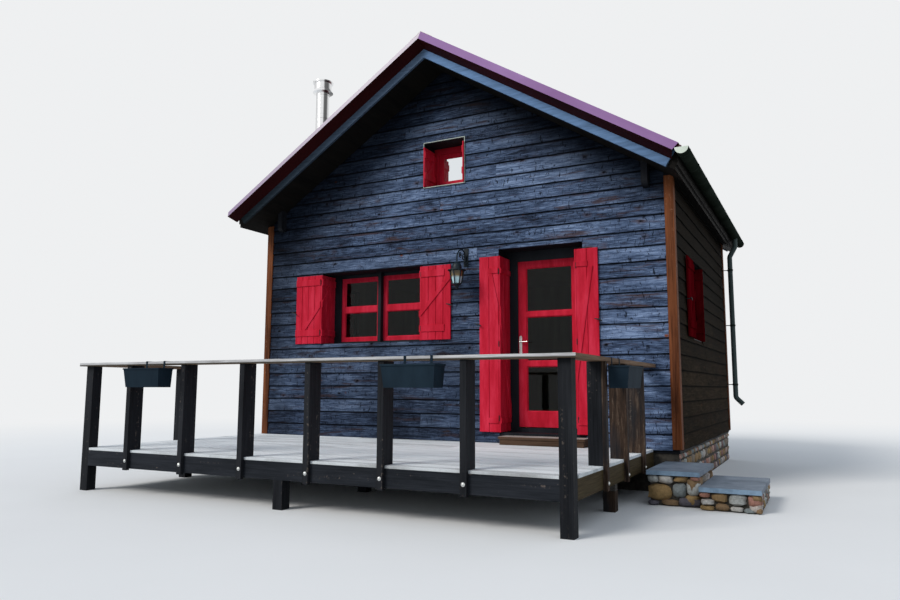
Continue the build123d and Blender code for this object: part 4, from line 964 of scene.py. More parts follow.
satin_steel = painted("satin_steel", (0.52, 0.53, 0.52), (0.70, 0.71, 0.69), 0.3, 1.0,
                      (1.0, 1.0, 30.0), 0.05)
black_paint = painted("black_paint", (0.006, 0.008, 0.011), (0.014, 0.018, 0.024), 0.5,
                      Specular_IOR_Level=0.12)
burgundy = painted("burgundy_metal", (0.085, 0.008, 0.018), (0.130, 0.016, 0.030), 0.30,
                   Coat_Weight=0.3, Coat_Roughness=0.25)
zinc = painted("zinc", (0.014, 0.020, 0.015), (0.036, 0.046, 0.038), 0.6,
               Specular_IOR_Level=0.0)
pipe_zinc = painted("pipe_zinc", (0.040, 0.058, 0.056), (0.105, 0.140, 0.135), 0.5,
                    Specular_IOR_Level=0.1)
pale_zinc = painted("pale_zinc", (0.20, 0.24, 0.22), (0.34, 0.39, 0.37), 0.45, 0.4)
bolt_zinc = painted("bolt_zinc", (0.55, 0.57, 0.56), (0.75, 0.76, 0.74), 0.35, 0.9)
iron = painted("dark_iron", (0.008, 0.010, 0.012), (0.024, 0.027, 0.030), 0.55,
               Specular_IOR_Level=0.2)
lantern_iron = painted("lantern_iron", (0.004, 0.008, 0.012), (0.012, 0.022, 0.032), 0.4,
                       Specular_IOR_Level=0.2)
brass = painted("aged_brass", (0.26, 0.13, 0.03), (0.44, 0.25, 0.07), 0.4, 1.0)
planter_coat = painted("planter_coat", (0.009, 0.017, 0.027), (0.019, 0.036, 0.054), 0.6,
                       Specular_IOR_Level=0.04)
print("even coats:", burgundy.name, zinc.name, iron.name, brass.name)

# %% [markdown]
# The red on the shutters, the sashes and the door is a satin crimson, a little thinner on some
# planks than on others. On the side walls, which lie in shade, a deep, dull copy of it is painted
# shade. Clouds drawn out upright follow the planks, so no plank needs a paint of its own. The
# small frame in the gable is crimson too, while the frames below are black: the height on the
# house tells them apart, because all frames are one node of the model.

# %% Crimson and frame paint
GABLE_WINDOW_ABOVE = 3.9


def crimson_coat(name, shades, gloss):
    """Crimson paint, a little thinner on some planks than on others."""
    material, tree, shader = new_finish(name, 0.45, Specular_IOR_Level=gloss)
    where = object_place(tree)
    cloud = noise(tree, stretched(tree, where, (9.0, 9.0, 1.6)), 1.0, 5.0, 0.66)
    colour = ramp(tree, cloud, list(zip((0.28, 0.5, 0.72), shades)))
    tree.links.new(colour, shader.inputs["Base Color"])
    emboss(tree, shader, noise(tree, where, 160.0, 3.0), 0.12, 0.001)
    return material


def frame_coat():
    """Black paint on the frames below, crimson on the small frame in the gable."""
    material, tree, shader = new_finish("frame_coat", 0.5, Specular_IOR_Level=0.12)
    where = object_place(tree)
    cloud = noise(tree, where, 5.0)
    height = add(tree, "SeparateXYZ", {0: where}).outputs[2]
    high = calc(tree, "GREATER_THAN", height, GABLE_WINDOW_ABOVE)
    black = ramp(tree, cloud, [(0.3, (0.006, 0.008, 0.011)), (0.7, (0.014, 0.018, 0.024))])
    red = ramp(tree, cloud, [(0.3, (0.330, 0.006, 0.016)), (0.7, (0.500, 0.010, 0.030))])
    tree.links.new(blend(tree, high, black, red), shader.inputs["Base Color"])
    emboss(tree, shader, noise(tree, where, 160.0, 3.0), 0.12, 0.001)
    return material


crimson = crimson_coat("crimson_paint", [(0.400, 0.006, 0.019), (0.560, 0.014, 0.038),
                                         (0.700, 0.036, 0.076)], 0.07)
shaded_crimson = crimson_coat("shaded_crimson", [(0.060, 0.001, 0.003), (0.110, 0.002, 0.005),
                                                 (0.170, 0.005, 0.010)], 0.0)
frame_paint = frame_coat()
print("reds:", crimson.name, shaded_crimson.name, "frames:", frame_paint.name)

# %% [markdown]
# The flue is rolled stainless steel. A bright pipe shows bands along its length, pale where it
# mirrors the sky and dark where it mirrors what stands behind it. The plain studio has nothing
# dark to mirror, so the bands are painted reflections in the colour, and they follow the surface's
# own direction.

# %% Polished steel
REFLECTION_WAY = (0.79, 0.615, 0.0)


def polished_steel():
    """Rolled steel with painted reflections: the turn of the surface from one fixed way picks
    bright or dark bands.
    """
    material, tree, shader = new_finish("stainless_steel", 0.2, Metallic=1.0)
    normal = add(tree, "TexCoord").outputs["Normal"]
    turn = add(tree, "VectorMath", {0: normal, 1: REFLECTION_WAY},
               operation="DOT_PRODUCT").outputs["Value"]
    share = add(tree, "MapRange", {0: turn, 1: -1.0, 2: 1.0})
    # Painted reflection: bands pale as the sky and dark as the surroundings.
    band = ramp(tree, share.outputs[0], [(0.02, 0.45), (0.07, 0.95), (0.52, 0.95), (0.60, 0.16),
                                         (0.80, 0.13), (0.90, 0.85)])
    rolled = ramp(tree, noise(tree, stretched(tree, object_place(tree), (2.0, 2.0, 60.0)), 1.0),
                  [(0.3, 0.88), (0.7, 1.0)])
    tree.links.new(blend(tree, 1.0, band, rolled, "MULTIPLY"), shader.inputs["Base Color"])
    return material


stainless = polished_steel()
print("flue:", stainless.name)

# %% [markdown]
# The gutter is dull zinc whose near-black colour is painted shade of the eaves. Only the soldered
# cap on its front end faces the open sky, and its pale colour is painted light. The cap could be a
# piece of its own. It is the end face of the solid here, so its place and direction pick the pale
# colour.

# %% Zinc of the gutter
CAP_BEFORE = -0.66


def gutter_zinc():
    """Zinc painted near black as shade of the eaves, with painted light on the end cap: faces that
    look forwards, at the gutter's front end.
    """
    material, tree, shader = new_finish("gutter_zinc", 0.6, Specular_IOR_Level=0.0)
    where = object_place(tree)
    cloud = noise(tree, where, 3.0)
    shaded_zinc = ramp(tree, cloud, [(0.3, (0.014, 0.020, 0.015)), (0.7, (0.036, 0.046, 0.038))])
    pale = ramp(tree, cloud, [(0.3, (0.62, 0.70, 0.60)), (0.7, (0.86, 0.92, 0.82))])
    front = add(tree, "SeparateXYZ", {0: where}).outputs[1]
    lit_cap = calc(tree, "MULTIPLY", calc(tree, "LESS_THAN", front, float(BASE[1]) + CAP_BEFORE),
               calc(tree, "SUBTRACT", 1.0, facing(tree, 1, -0.7)))
    tree.links.new(blend(tree, lit_cap, shaded_zinc, pale), shader.inputs["Base Color"])
    return material


gutter_coat = gutter_zinc()
print("gutter:", gutter_coat.name)

# %% [markdown]
# The folded verges face three ways. The top is burgundy. On the slanting nose, which looks at the
# sky, the sky's sheen is painted in: mauve, and on the left verge almost white. The return below
# it looks at the ground and is painted in shade, a very dark red. The face's own direction tells
# them apart, so one finish serves every fold.

# %% Coated metal of the verges
def verge_metal_painted_light():
    """Burgundy coat with a painted sky sheen, mauve to near white, where a face looks forwards and
    up, and painted shade, a near-black red, below.
    """
    material, tree, shader = new_finish("verge_metal_painted_light", 0.45, Specular_IOR_Level=0.05)
    where = object_place(tree)
    normal = add(tree, "SeparateXYZ", {0: add(tree, "TexCoord").outputs["Normal"]})
    cloud = noise(tree, stretched(tree, where, (0.7, 3.0, 0.7)), 1.0, 4.0, 0.6)
    top = ramp(tree, cloud, [(0.3, (0.085, 0.008, 0.018)), (0.7, (0.130, 0.016, 0.030))])
    # Painted sky sheen on the nose: mauve, and on the left slope paling to almost white towards
    # the ridge.
    mauve_sky_sheen = ramp(tree, cloud, [(0.3, (0.27, 0.14, 0.31)), (0.7, (0.38, 0.22, 0.45))])
    eave = add(tree, "MapRange", {0: add(tree, "SeparateXYZ", {0: where}).outputs[0],
                                  1: float(BASE[0]) - 3.3, 2: float(BASE[0]) - 0.8})
    pale_sky_sheen = ramp(tree, eave.outputs[0], [(0.0, (0.30, 0.22, 0.34)), (1.0, (0.66, 0.58, 0.64))])
    # Painted shade: faces that look down take a near-black red.
    under = ramp(tree, cloud, [(0.3, (0.020, 0.003, 0.003)), (0.7, (0.042, 0.005, 0.006))])
    ends = calc(tree, "GREATER_THAN", calc(tree, "ABSOLUTE", normal.outputs[1]), 0.6)
    nose = calc(tree, "MULTIPLY", ends, calc(tree, "GREATER_THAN", normal.outputs[2], 0.2))
    left = calc(tree, "LESS_THAN", normal.outputs[0], 0.0)
    bevel = blend(tree, left, mauve_sky_sheen, pale_sky_sheen)
    colour = blend(tree, nose, top, bevel)
    down = calc(tree, "LESS_THAN", normal.outputs[2], -0.2)
    tree.links.new(blend(tree, down, colour, under), shader.inputs["Base Color"])
    return material


verge_coat = verge_metal_painted_light()
print("verges:", verge_coat.name)

# %% [markdown]
# The panes are thin sheet glass before a dark room, with a weak mirror. Their dark grey-green tint
# is partly painted shade of the room behind. The pane in the gable is seen from so far below that
# it mirrors only bright sky, so that one is a mirror. The lantern has milky glass, pale blue below
# and amber to near black towards the top.

# %% Glass
def window_glass():
    """Sheet glass with a dark tint that is partly painted shade of the room behind; the small pane
    in the gable is a mirror of the bright sky.
    """
    material, tree, shader = new_finish("window_glass", 0.02, IOR=1.25, Transmission_Weight=1.0)
    height = add(tree, "SeparateXYZ", {0: object_place(tree)}).outputs[2]
    high = calc(tree, "GREATER_THAN", height, GABLE_WINDOW_ABOVE)
    tree.links.new(high, shader.inputs["Metallic"])
    tree.links.new(blend(tree, high, (0.24, 0.28, 0.27), (0.85, 0.88, 0.90)),
                   shader.inputs["Base Color"])
    return material


def lantern_panes():
    """Milky glass, pale blue below, turning amber and then near black towards the top."""
    material, tree, shader = new_finish("lantern_panes", 0.25)
    place = object_place(tree)
    height = add(tree, "SeparateXYZ", {0: place}).outputs[2]
    haze = calc(tree, "MULTIPLY", noise(tree, place, 30.0), 0.05)
    level = add(tree, "MapRange", {0: calc(tree, "ADD", height, haze), 1: 2.50, 2: 2.75})
    colour = ramp(tree, level.outputs[0], [(0.0, (0.36, 0.60, 0.68)), (0.55, (0.52, 0.74, 0.80)),
                                           (0.64, (0.22, 0.15, 0.06)), (1.0, (0.02, 0.016, 0.01))])
    tree.links.new(colour, shader.inputs["Base Color"])
    return material


clear_glass, milk_glass = window_glass(), lantern_panes()
print("glass:", clear_glass.name, milk_glass.name)

# %% [markdown]
# Field stones are rough, and each has its own colour: ochre, brown, grey, white, salmon or
# nearly black. Hundreds of stones can't each have a material. A number on the attribute picks
# the colour from one ramp, and patches and specks vary it.

# %% Rubble stone
def stone(name, stops, roughness=0.85, bump=0.8, size=9.0):
    """Rough stone whose colour comes from its own number and from patches over it."""
    material, tree, shader = new_finish(name, roughness)
    where = object_place(tree)
    patch = noise(tree, where, size, 6.0, 0.7)
    own = add(tree, "Attribute", attribute_name="grain").outputs["Fac"]
    pick = calc(tree, "ADD", own, calc(tree, "MULTIPLY", calc(tree, "SUBTRACT", patch, 0.5), 0.05))
    colour = ramp(tree, pick, stops)
    shade = ramp(tree, noise(tree, where, 34.0, 8.0, 0.75), [(0.3, 0.45), (0.7, 1.1)])
    tree.links.new(blend(tree, 1.0, colour, shade, "MULTIPLY"), shader.inputs["Base Color"])
    emboss(tree, shader, noise(tree, where, 22.0, 9.0, 0.72), bump, 0.012)
    return material


rubble = stone("rubble_stone", [(0.05, (0.42, 0.27, 0.11)), (0.25, (0.30, 0.19, 0.10)),
                                (0.45, (0.26, 0.30, 0.31)), (0.60, (0.74, 0.74, 0.70)),
                                (0.78, (0.52, 0.24, 0.17)), (0.95, (0.14, 0.13, 0.16))])
print("rubble:", rubble.name)

# %% [markdown]
# Slate splits into sheets, so it shows flat clouds and fine ridges, and the sawn front edge
# of a slab is a paler blue. Mortar and the soil in the planters have the same pattern, only
# finer and rougher.

# %% Slate, mortar and soil
def riven(name, dark, pale, size, roughness, bump):
    """Split slate or crumbly stuff: flat clouds with fine ridges."""
    material, tree, shader = new_finish(name, roughness)
    where = object_place(tree)
    cloud = noise(tree, where, size, 7.0, 0.65, 0.6)
    tree.links.new(ramp(tree, cloud, [(0.32, dark), (0.68, pale)]), shader.inputs["Base Color"])
    emboss(tree, shader, noise(tree, where, 2.5 * size, 8.0, 0.7, 0.8), bump, 0.008)
    return material


def riven_slab(name, dark, pale, size, roughness, bump):
    """Riven stone whose sawn front edge is a paler blue."""
    material = riven(name, dark, pale, size, roughness, bump)
    tree, shader = material.node_tree, material.node_tree.nodes["Principled BSDF"]
    top = shader.inputs["Base Color"].links[0].from_socket
    edge = ramp(tree, noise(tree, object_place(tree), 9.0, 6.0, 0.7),
                [(0.3, (0.15, 0.23, 0.33)), (0.7, (0.30, 0.44, 0.60))])
    back = facing(tree, 1, -0.5)
    tree.links.new(blend(tree, back, edge, top), shader.inputs["Base Color"])
    return material


slate = riven_slab("slate", (0.075, 0.105, 0.150), (0.210, 0.260, 0.330), 3.5, 0.62, 0.5)
# The mortar's near black is partly painted shade: on the plinth it stands in for the shade under
# the house and the deck.
mortar = riven("dark_mortar", (0.020, 0.018, 0.015), (0.075, 0.065, 0.052), 14.0, 0.95, 0.8)
soil = riven("soil", (0.010, 0.007, 0.004), (0.045, 0.030, 0.020), 40.0, 0.95, 1.0)
print("slate, mortar and soil:", slate.name, mortar.name, soil.name)

# %% [markdown]
# ## Shutters
#
# Each pair folds like a book: the inner leaf stands in the reveal and the outer leaf lies
# flat on the boards. A leaf is a row of upright planks with chamfered edges, two ledges
# across and one brace that starts and stops at the ledges. The same three calls make every
# leaf, so only its place, its width and the way of its brace change.

# %% Leaves of planks, ledges and a brace
PLANK_THICK, LEDGE_THICK, BRACE_WIDTH = 0.020, 0.013, 0.055
HALF_GAP, PLANK_CHAMFER, OVERLAP = 0.0018, 0.0050, 0.0005
STAND_OFF, REVEAL = 0.030, 0.285


def brace_outline(width, height, ledges, start, end):
    """Slanting board between the ledges: its two edge lines, held between two heights."""
    rise, drop, tall = ledges
    low, high = rise + tall, height - drop
    slope = (end - start) * height / width
    plumb = BRACE_WIDTH * math.hypot(1, slope)
    under = start * height - plumb / 2
    cuts = [(level - edge) / slope for level in (low, high) for edge in (under, under + plumb)]
    u = np.unique(np.clip([0.0, width, *cuts], 0.0, width))
    lower = np.clip(under + slope * u, low, high)
    upper = np.clip(under + plumb + slope * u, low, high)
    ring = np.concatenate([np.column_stack([u, lower]), np.column_stack([u, upper])[::-1]])
    ring = ring[np.linalg.norm(ring - np.roll(ring, 1, axis=0), axis=1) > 1e-6]
    before, after = ring - np.roll(ring, 1, axis=0), np.roll(ring, -1, axis=0) - ring
    bend = before[:, 0] * after[:, 1] - before[:, 1] * after[:, 0]
    return ring[np.abs(bend) > 1e-9]


def leaf(width, height, planks, ledges, brace, start, origin, along, out):
    """Planks side by side, then two ledges, which begin at a start, and a brace on them."""
    edges = np.linspace(0, width, planks + 1)
    parts = [slab(rectangle(a + HALF_GAP, b - HALF_GAP, 0, height), 0, PLANK_THICK,
                  PLANK_CHAMFER, origin, along, out) for a, b in zip(edges[:-1], edges[1:])]
    face, front = PLANK_THICK - OVERLAP, PLANK_THICK + LEDGE_THICK
    for z in (ledges[0], height - ledges[1]):
        parts.append(slab(rectangle(start, width - 0.004, z, z + ledges[2]), face, front,
                          0.004, origin, along, out))
    parts.append(slab(brace_outline(width, height, ledges, *brace), face, front, 0.003,
                      origin, along, out))
    return parts


def folded_pair(wall, edge, way, outer, bottom, height, planks, ledges, brace, start=0.004):
    """Inner leaf in the reveal and, if it has a width, an outer leaf flat beside it."""
    base, along, out = wall
    corner = base + edge * along + bottom * UP
    parts = leaf(REVEAL + STAND_OFF + PLANK_THICK, height, planks[1], ledges, brace[1:], 0.004,
                 corner + (STAND_OFF + PLANK_THICK) * out, -out, way * along)
    if outer:
        parts += leaf(outer, height, planks[0], ledges, brace[:2], start,
                      corner - way * outer * along + STAND_OFF * out, way * along, out)
    return parts


print("leaves of planks", PLANK_THICK, "m thick with ledges", LEDGE_THICK, "m thick")

# %% [markdown]
# One table names every window pair: its wall, its edge, the way in, the outer leaf's width, the
# line of its brace and where its ledges begin. The side windows are narrow, so one pair covers
# them and a single leaf stands in the far reveal. The side walls lie in shade, so their faces get
# a second finish: a deep, dull red that is painted shade.

# %% All the shutters
WINDOW_LEDGES, DOOR_LEDGES = (0.112, 0.153, 0.095), (0.112, 0.228, 0.070)
RISING, FALLING, LOFT_BRACE = (0.01, 0.57, 0.98), (0.84, 0.36, 0.01), (0.10, 0.10, 0.90)
OUTER_LEAF, DOOR_OUTER_LEAF = 0.460, 0.280
WINDOW_PAIRS = [("front", WINDOW[0], 1, OUTER_LEAF, RISING, 0.004),
                ("front", WINDOW[1], -1, OUTER_LEAF, FALLING, 0.092)]
for side in ("right", "left"):
    WINDOW_PAIRS += [(side, SIDE_WINDOW[0], 1, OUTER_LEAF, RISING, 0.004),
                     (side, SIDE_WINDOW[1], -1, 0, FALLING, 0.004)]
DOOR_PAIRS = [(DOORWAY[0] + 0.014, 1, (1.23, 0.66, 0.10)),
              (DOORWAY[1] - 0.080, -1, (1.15, 0.36, 0.06))]
shutter_parts = []
for wall, edge, way, outer, brace, start in WINDOW_PAIRS:
    shutter_parts += folded_pair(WALLS[wall], edge, way, outer, WINDOW[2] + 0.008, 1.022,
                                 (4, 3), WINDOW_LEDGES, brace, start)
for edge, way in ((LOFT[0], 1), (LOFT[1], -1)):
    shutter_parts += folded_pair(WALLS["front"], edge, way, 0, LOFT[2] + 0.008, 0.570, (0, 3),
                                 WINDOW_LEDGES, LOFT_BRACE)
window_leaves = make_piece("window_leaves", shutter_parts, crimson)
middles = np.zeros(3 * len(window_leaves.data.polygons))
window_leaves.data.polygons.foreach_get("center", middles)
# Faces on the side walls take the deep, dull red, which is painted shade.
beside = np.abs(middles[::3] - BASE[0]) > HALF_WIDTH - 0.4
window_leaves.data.materials.append(shaded_crimson)
window_leaves.data.polygons.foreach_set("material_index", beside.astype(np.int32))
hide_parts("window_shutters")

door_parts = []
for edge, way, brace in DOOR_PAIRS:
    door_parts += folded_pair(WALLS["front"], edge, way, DOOR_OUTER_LEAF, 0.620, 2.285, (2, 3),
                              DOOR_LEDGES, brace, 0.129)
door_leaves = make_piece("door_shutter_leaves", door_parts, crimson)
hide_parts("door_shutters")

# %% [markdown]
# The leaves hang on small butt hinges, and an iron hook with a turned end holds each outer
# leaf back against the wall. They are a few centimetres long and seen from metres away, so
# bent rods of eight sides are enough, and all of them are one piece.

# %% Hinges and holdfasts of the shutters
def butt_hinge(corner, out, z):
    """Knuckle 7 cm high in the fold between two leaves."""
    centre = corner + z * UP + (STAND_OFF + PLANK_THICK + 0.004) * out
    return rod([centre - 0.035 * UP, centre + 0.035 * UP], 0.006)


def holdfast(place, along, out):
    """Short stem out of the wall with a plate across its end, turned down a little."""
    tip = place + 0.085 * out
    plate = rod([tip - 0.050 * along + 0.012 * UP, tip, tip + 0.045 * along - 0.020 * UP],
                [0.005, 0.010, 0.006])
    return [rod([place, tip], 0.006), plate]


ironwork = []
for wall, edge, way, outer, _, _ in WINDOW_PAIRS:
    base, along, out = WALLS[wall]
    ironwork += [butt_hinge(base + edge * along, out, z) for z in (WINDOW[2] + 0.17,
                                                                   WINDOW[3] - 0.13)]
    if outer:
        ironwork += holdfast(base + (edge - way * (outer + 0.002)) * along
                             + (WINDOW[2] + 0.475) * UP, along, out)
for edge, way, _ in DOOR_PAIRS:
    ironwork += [butt_hinge(BASE + edge * X, -Y, z) for z in (0.80, 1.75, 2.70)]
    ironwork += holdfast(BASE + (edge - way * (DOOR_OUTER_LEAF + 0.004)) * X + 2.01 * UP, X, -Y)
make_piece("shutter_ironwork", ironwork, iron)

# %% [markdown]
# ## Joinery
#
# The sashes and the door leaf come from the CAD model. What it leaves out is the thin bead
# that holds each pane: a small sloping strip all round, mitred at the corners. Four mitred
# strips are one ring of outlines, from the rebate's edge to the glass.

# %% Glazing beads
def bead(u0, u1, z0, z1, depth, width, wall):
    """Sloping frame round a pane: an outer rectangle in front and an inner one at the glass."""
    outer, inner = rectangle(u0, u1, z0, z1), rectangle(u0 + width, u1 - width, z0 + width,
                                                        z1 - width)
    rows = [(outer, depth), (outer, depth + width), (inner, depth + 0.3 * width),
            (inner, depth)]
    local = np.stack([np.insert(row, 1, n, axis=1) for row, n in rows])
    return skin(placed(np.swapaxes(local, 0, 1), *WALLS[wall]), closed=True)


GLASS_FACE, DOOR_GLASS_FACE = 0.3195, 0.322
POST, STILE, HALF_MULLION = 0.140, 0.058, 0.025
SPANS = [("front", WINDOW[0] + POST, (WINDOW[0] + WINDOW[1]) / 2 - HALF_MULLION),
         ("front", (WINDOW[0] + WINDOW[1]) / 2 + HALF_MULLION, WINDOW[1] - POST),
         ("right", SIDE_WINDOW[0] + POST, SIDE_WINDOW[1] - POST),
         ("left", SIDE_WINDOW[0] + POST, SIDE_WINDOW[1] - POST)]
panes = []
for wall, a, b in SPANS:
    half = (WINDOW[2] + WINDOW[3]) / 2
    for low, high in ((WINDOW[2] + 0.103, half - 0.043), (half + 0.043, WINDOW[3] - 0.103)):
        panes.append(bead(a + STILE, b - STILE, low, high, -GLASS_FACE, 0.012, wall))
panes.append(bead(LOFT[0] + 0.127, LOFT[1] - 0.127, LOFT[2] + 0.142, LOFT[3] - 0.142,
                  -GLASS_FACE, 0.012, "front"))
make_piece("window_beads", panes, crimson)

DOOR_LEAF = (0.981, 1.861, 0.678, 2.876)
PANE_HEIGHT, DOOR_RAIL = 0.592, 0.062
tops = DOOR_LEAF[3] - 0.101 - (PANE_HEIGHT + DOOR_RAIL) * np.arange(3)
door_beads = [bead(DOOR_LEAF[0] + 0.121, DOOR_LEAF[1] - 0.121, top - PANE_HEIGHT, top,
                   -DOOR_GLASS_FACE, 0.014, "front") for top in tops]
make_piece("door_beads", door_beads, crimson, body="door")

# %% [markdown]
# The small opening in the gable is edged with a narrow pale strip that covers the ends of
# the cladding, and the windows stand on thin dark sills. They are four straight boards round
# a hole and one below each window, because butt joints are what such strips have.

# %% Trim round the openings
STRIP = 0.012
trim = []
u0, u1, z0, z1 = LOFT
for a, b, low, high in ((u0 - STRIP, u0, z0 - STRIP, z1 + STRIP),
                        (u1, u1 + STRIP, z0 - STRIP, z1 + STRIP),
                        (u0, u1, z1, z1 + STRIP), (u0, u1, z0 - STRIP, z0)):
    trim.append(slab(rectangle(a, b, low, high), 0.0, 0.030, 0.002, *WALLS["front"]))
make_piece("loft_trim", trim, pale_zinc)

sills = []
for wall, (u0, u1, z0, _) in (("front", WINDOW), ("right", SIDE_WINDOW), ("left", SIDE_WINDOW)):
    sills.append(slab(rectangle(u0 + 0.040, u1 - 0.040, z0 - 0.001, z0 + 0.007), -0.285, 0.012,
                      0.002, *WALLS[wall]))
make_piece("window_sills", sills, black_paint)

# %% [markdown]
# ## Roof
#
# The ribbed sheets, the folded verges and the ridge cap are CAD solids, because their folds
# are the roof's outline. Screws with sealing washers hold them down: one row along each
# verge and rows across the ribs. Dots in the paint would be flat, so each is a turned dome,
# of only seven sides because there are hundreds.

# %% Roof screws
def screw(place, axis, radius=0.009):
    """Low dome on a flat washer."""
    return turned([(radius * 1.6, -0.001), (radius * 1.6, 0.002), (radius, 0.003),
                   (radius, 0.007), (radius * 0.5, 0.010), (0.0005, 0.011)], 7, place, axis)


FLASH_TOP, RIB_PITCH = -0.655, 0.250
screws = []
for side in (1, -1):
    square = np.array([side * math.sin(PITCH), 0, math.cos(PITCH)])
    down = np.array([side * math.cos(PITCH), 0, -math.sin(PITCH)])
    ridge = BASE + RIDGE_TOP * UP
    for y in (FLASH_TOP + 0.035, HOUSE_LENGTH - FLASH_TOP - 0.035):
        for s in np.arange(0.35, 3.7, 0.62):
            screws.append(screw(ridge + s * down + y * Y + 0.004 * square, square, 0.006))
    ribs = np.arange(-11.5, 12.5) * RIB_PITCH + HOUSE_LENGTH / 2
    for s in (0.35, 1.2, 2.05, 2.9, 3.7):
        for y in ribs[1:-1]:
            screws.append(screw(ridge + s * down + y * Y, square))
make_piece("roof_screws", screws, bolt_zinc)

# %% [markdown]
# The gutter hangs in flat brackets under the eaves, and two-part clamps hold the downpipe
# off the wall. A bracket is a strip bent round the gutter's lower half: a thin rectangle
# carried along a half circle, which fits the trough more closely than a bent board would.

# %% Gutter brackets and pipe clamps
GUTTER_X, GUTTER_TOP = 3.325, 3.8071
STRIP_INSIDE, STRIP_OUTSIDE, STRIP_WIDE = 0.0752, 0.0790, 0.025
PIPE_X, PIPE_Y = 3.230, HOUSE_LENGTH - 0.140


def gutter_bracket(y):
    """Strip 25 mm wide on a half circle round the gutter, with its ends at the rims."""
    angle = np.linspace(0, -np.pi, 17)
    rows = []
    for radius, dy in ((STRIP_INSIDE, 0.0), (STRIP_INSIDE, STRIP_WIDE),
                       (STRIP_OUTSIDE, STRIP_WIDE), (STRIP_OUTSIDE, 0.0)):
        rows.append(np.stack([GUTTER_X + radius * np.cos(angle), np.full(len(angle), y + dy),
                              GUTTER_TOP + radius * np.sin(angle)], axis=-1))
    return skin(BASE + np.stack(rows, axis=1))


def pipe_clamp(z):
    """Ring round the pipe with a stem back to the wall."""
    centre = BASE + np.array([PIPE_X, PIPE_Y, z])
    ring = turned([(0.0402, -0.014), (0.046, -0.014), (0.046, 0.014), (0.0402, 0.014)], 20,
                  centre)
    return [ring, rod([centre - 0.045 * X, centre - 0.130 * X], 0.007)]


fittings = [gutter_bracket(y) for y in np.arange(-0.58, HOUSE_LENGTH + 0.65, 0.62)]
for z in (1.25, 2.25, 3.20):
    fittings += pipe_clamp(z)
make_piece("gutter_fittings", fittings, zinc)

# %% [markdown]
# Two clamping rings join the flue's lengths of pipe, and a low collar sheds the rain where
# the pipe comes through the roof. They are turned about the pipe's own axis.

# %% Rings of the flue
flue_low, flue_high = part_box("flue")
flue_axis = np.array([(flue_low[0] + flue_high[0]) / 2, (flue_low[1] + flue_high[1]) / 2, 0.0])
FLUE_TOP = 5.980
flue_rings = [turned([(0.1052, -0.012), (0.109, -0.010), (0.109, 0.010), (0.1052, 0.012)], 40,
                     flue_axis + z * UP) for z in (FLUE_TOP - 0.03, FLUE_TOP - 0.43)]
roof_z = RIDGE_TOP - abs(flue_axis[0] - BASE[0]) * ROOF_TAN
flue_rings.append(turned([(0.1052, roof_z + 0.12), (0.155, roof_z + 0.09),
                          (0.157, roof_z + 0.08), (0.1052, roof_z + 0.10)], 40, flue_axis))
make_piece("flue_rings", flue_rings, stainless)

# %% [markdown]
# ## Deck
#
# The deck is softwood that has bleached to silver. Its fibres run along the board, every
# board has a tone of its own, and dirt lies in clouds over several boards. The pattern reads
# the attribute grain, as the cladding's does.

# %% Bleached softwood
def bleached_deck():
    """Silver-grey softwood: fibres along the board, a tone for every board, dirt in clouds."""
    material, tree, shader = new_finish("bleached_deck", 0.75)
    grain = add(tree, "Attribute", attribute_name="grain").outputs["Vector"]
    own = add(tree, "SeparateXYZ", {0: grain}).outputs[2]
    fibre = noise(tree, stretched(tree, grain, (1.6, 70.0, 1.0)), 1.0, 7.0, 0.7)
    cloud = noise(tree, stretched(tree, grain, (0.9, 1.6, 0.2)), 1.0, 4.0, 0.6)
    tone = add(tree, "TexWhiteNoise", {"W": own}, noise_dimensions="1D").outputs["Value"]
    depth = calc(tree, "ADD", calc(tree, "MULTIPLY", fibre, 0.45),
                 calc(tree, "MULTIPLY", cloud, 0.4))
    depth = calc(tree, "ADD", depth, calc(tree, "MULTIPLY", tone, 0.18))
    colour = ramp(tree, depth, [(0.32, (0.34, 0.35, 0.36)), (0.48, (0.72, 0.76, 0.79)),
                                (0.68, (0.90, 0.94, 0.97))])
    tree.links.new(colour, shader.inputs["Base Color"])
    emboss(tree, shader, fibre, 0.4, 0.003)
    return material


deck_finish = bleached_deck()
print("deck:", deck_finish.name)

# %% [markdown]
# The deck's boards run along the house. One slab with painted lines would do from afar, but
# the gaps let light through and the edges show beside the rim. So each board is a plank of
# its own with soft edges, a narrow gap to the next and one joint over a joist. The first row
# ends short of the corner posts, which stand in its place.

# %% Deck boards
deck_low, deck_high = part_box("deck_boards")
DECK_TOP = deck_high[2]
ROWS, BOARD_GAP, HALF_JOINT, POST_ROOM = 21, 0.005, 0.0015, 0.118
JOIST_PLACES = [1.90, 2.52, 3.14, 3.77]
pitch = (deck_high[1] - deck_low[1]) / ROWS
deck_parts, deck_grain = [], []
for row in range(ROWS):
    y0, y1 = deck_low[1] + row * pitch, deck_low[1] + (row + 1) * pitch - BOARD_GAP
    ends = [deck_low[0], deck_high[0]]
    if row == 0:
        ends = [deck_low[0] + POST_ROOM, deck_high[0] - POST_ROOM]
    joint = ends[0] + random.choice(JOIST_PLACES)
    for a, b in ((ends[0], joint - HALF_JOINT), (joint + HALF_JOINT, ends[1])):
        board = plank((a, y0, deck_low[2]), (b, y1, DECK_TOP), 0.003, 6)
        points = board[0]
        points[:, 2] += random.uniform(-0.0012, 0.0) * (points[:, 2] > DECK_TOP - 0.01)
        deck_parts.append(board)
        own = np.full(len(points), random.uniform(0, 50))
        deck_grain.append(np.stack([points[:, 0], points[:, 1], own], axis=-1))
deck_surface = make_piece("deck_planks", deck_parts, deck_finish, grain=deck_grain)
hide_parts("deck_boards")

# %% [markdown]
# Coach bolts with broad washers fix each railing plank to the rim. Their heads are low
# domes, turned about the axis that points away from the deck.

# %% Coach bolts
RIM_FACE, RIGHT_FACE, LEFT_FACE = -3.013, 2.781, -3.143


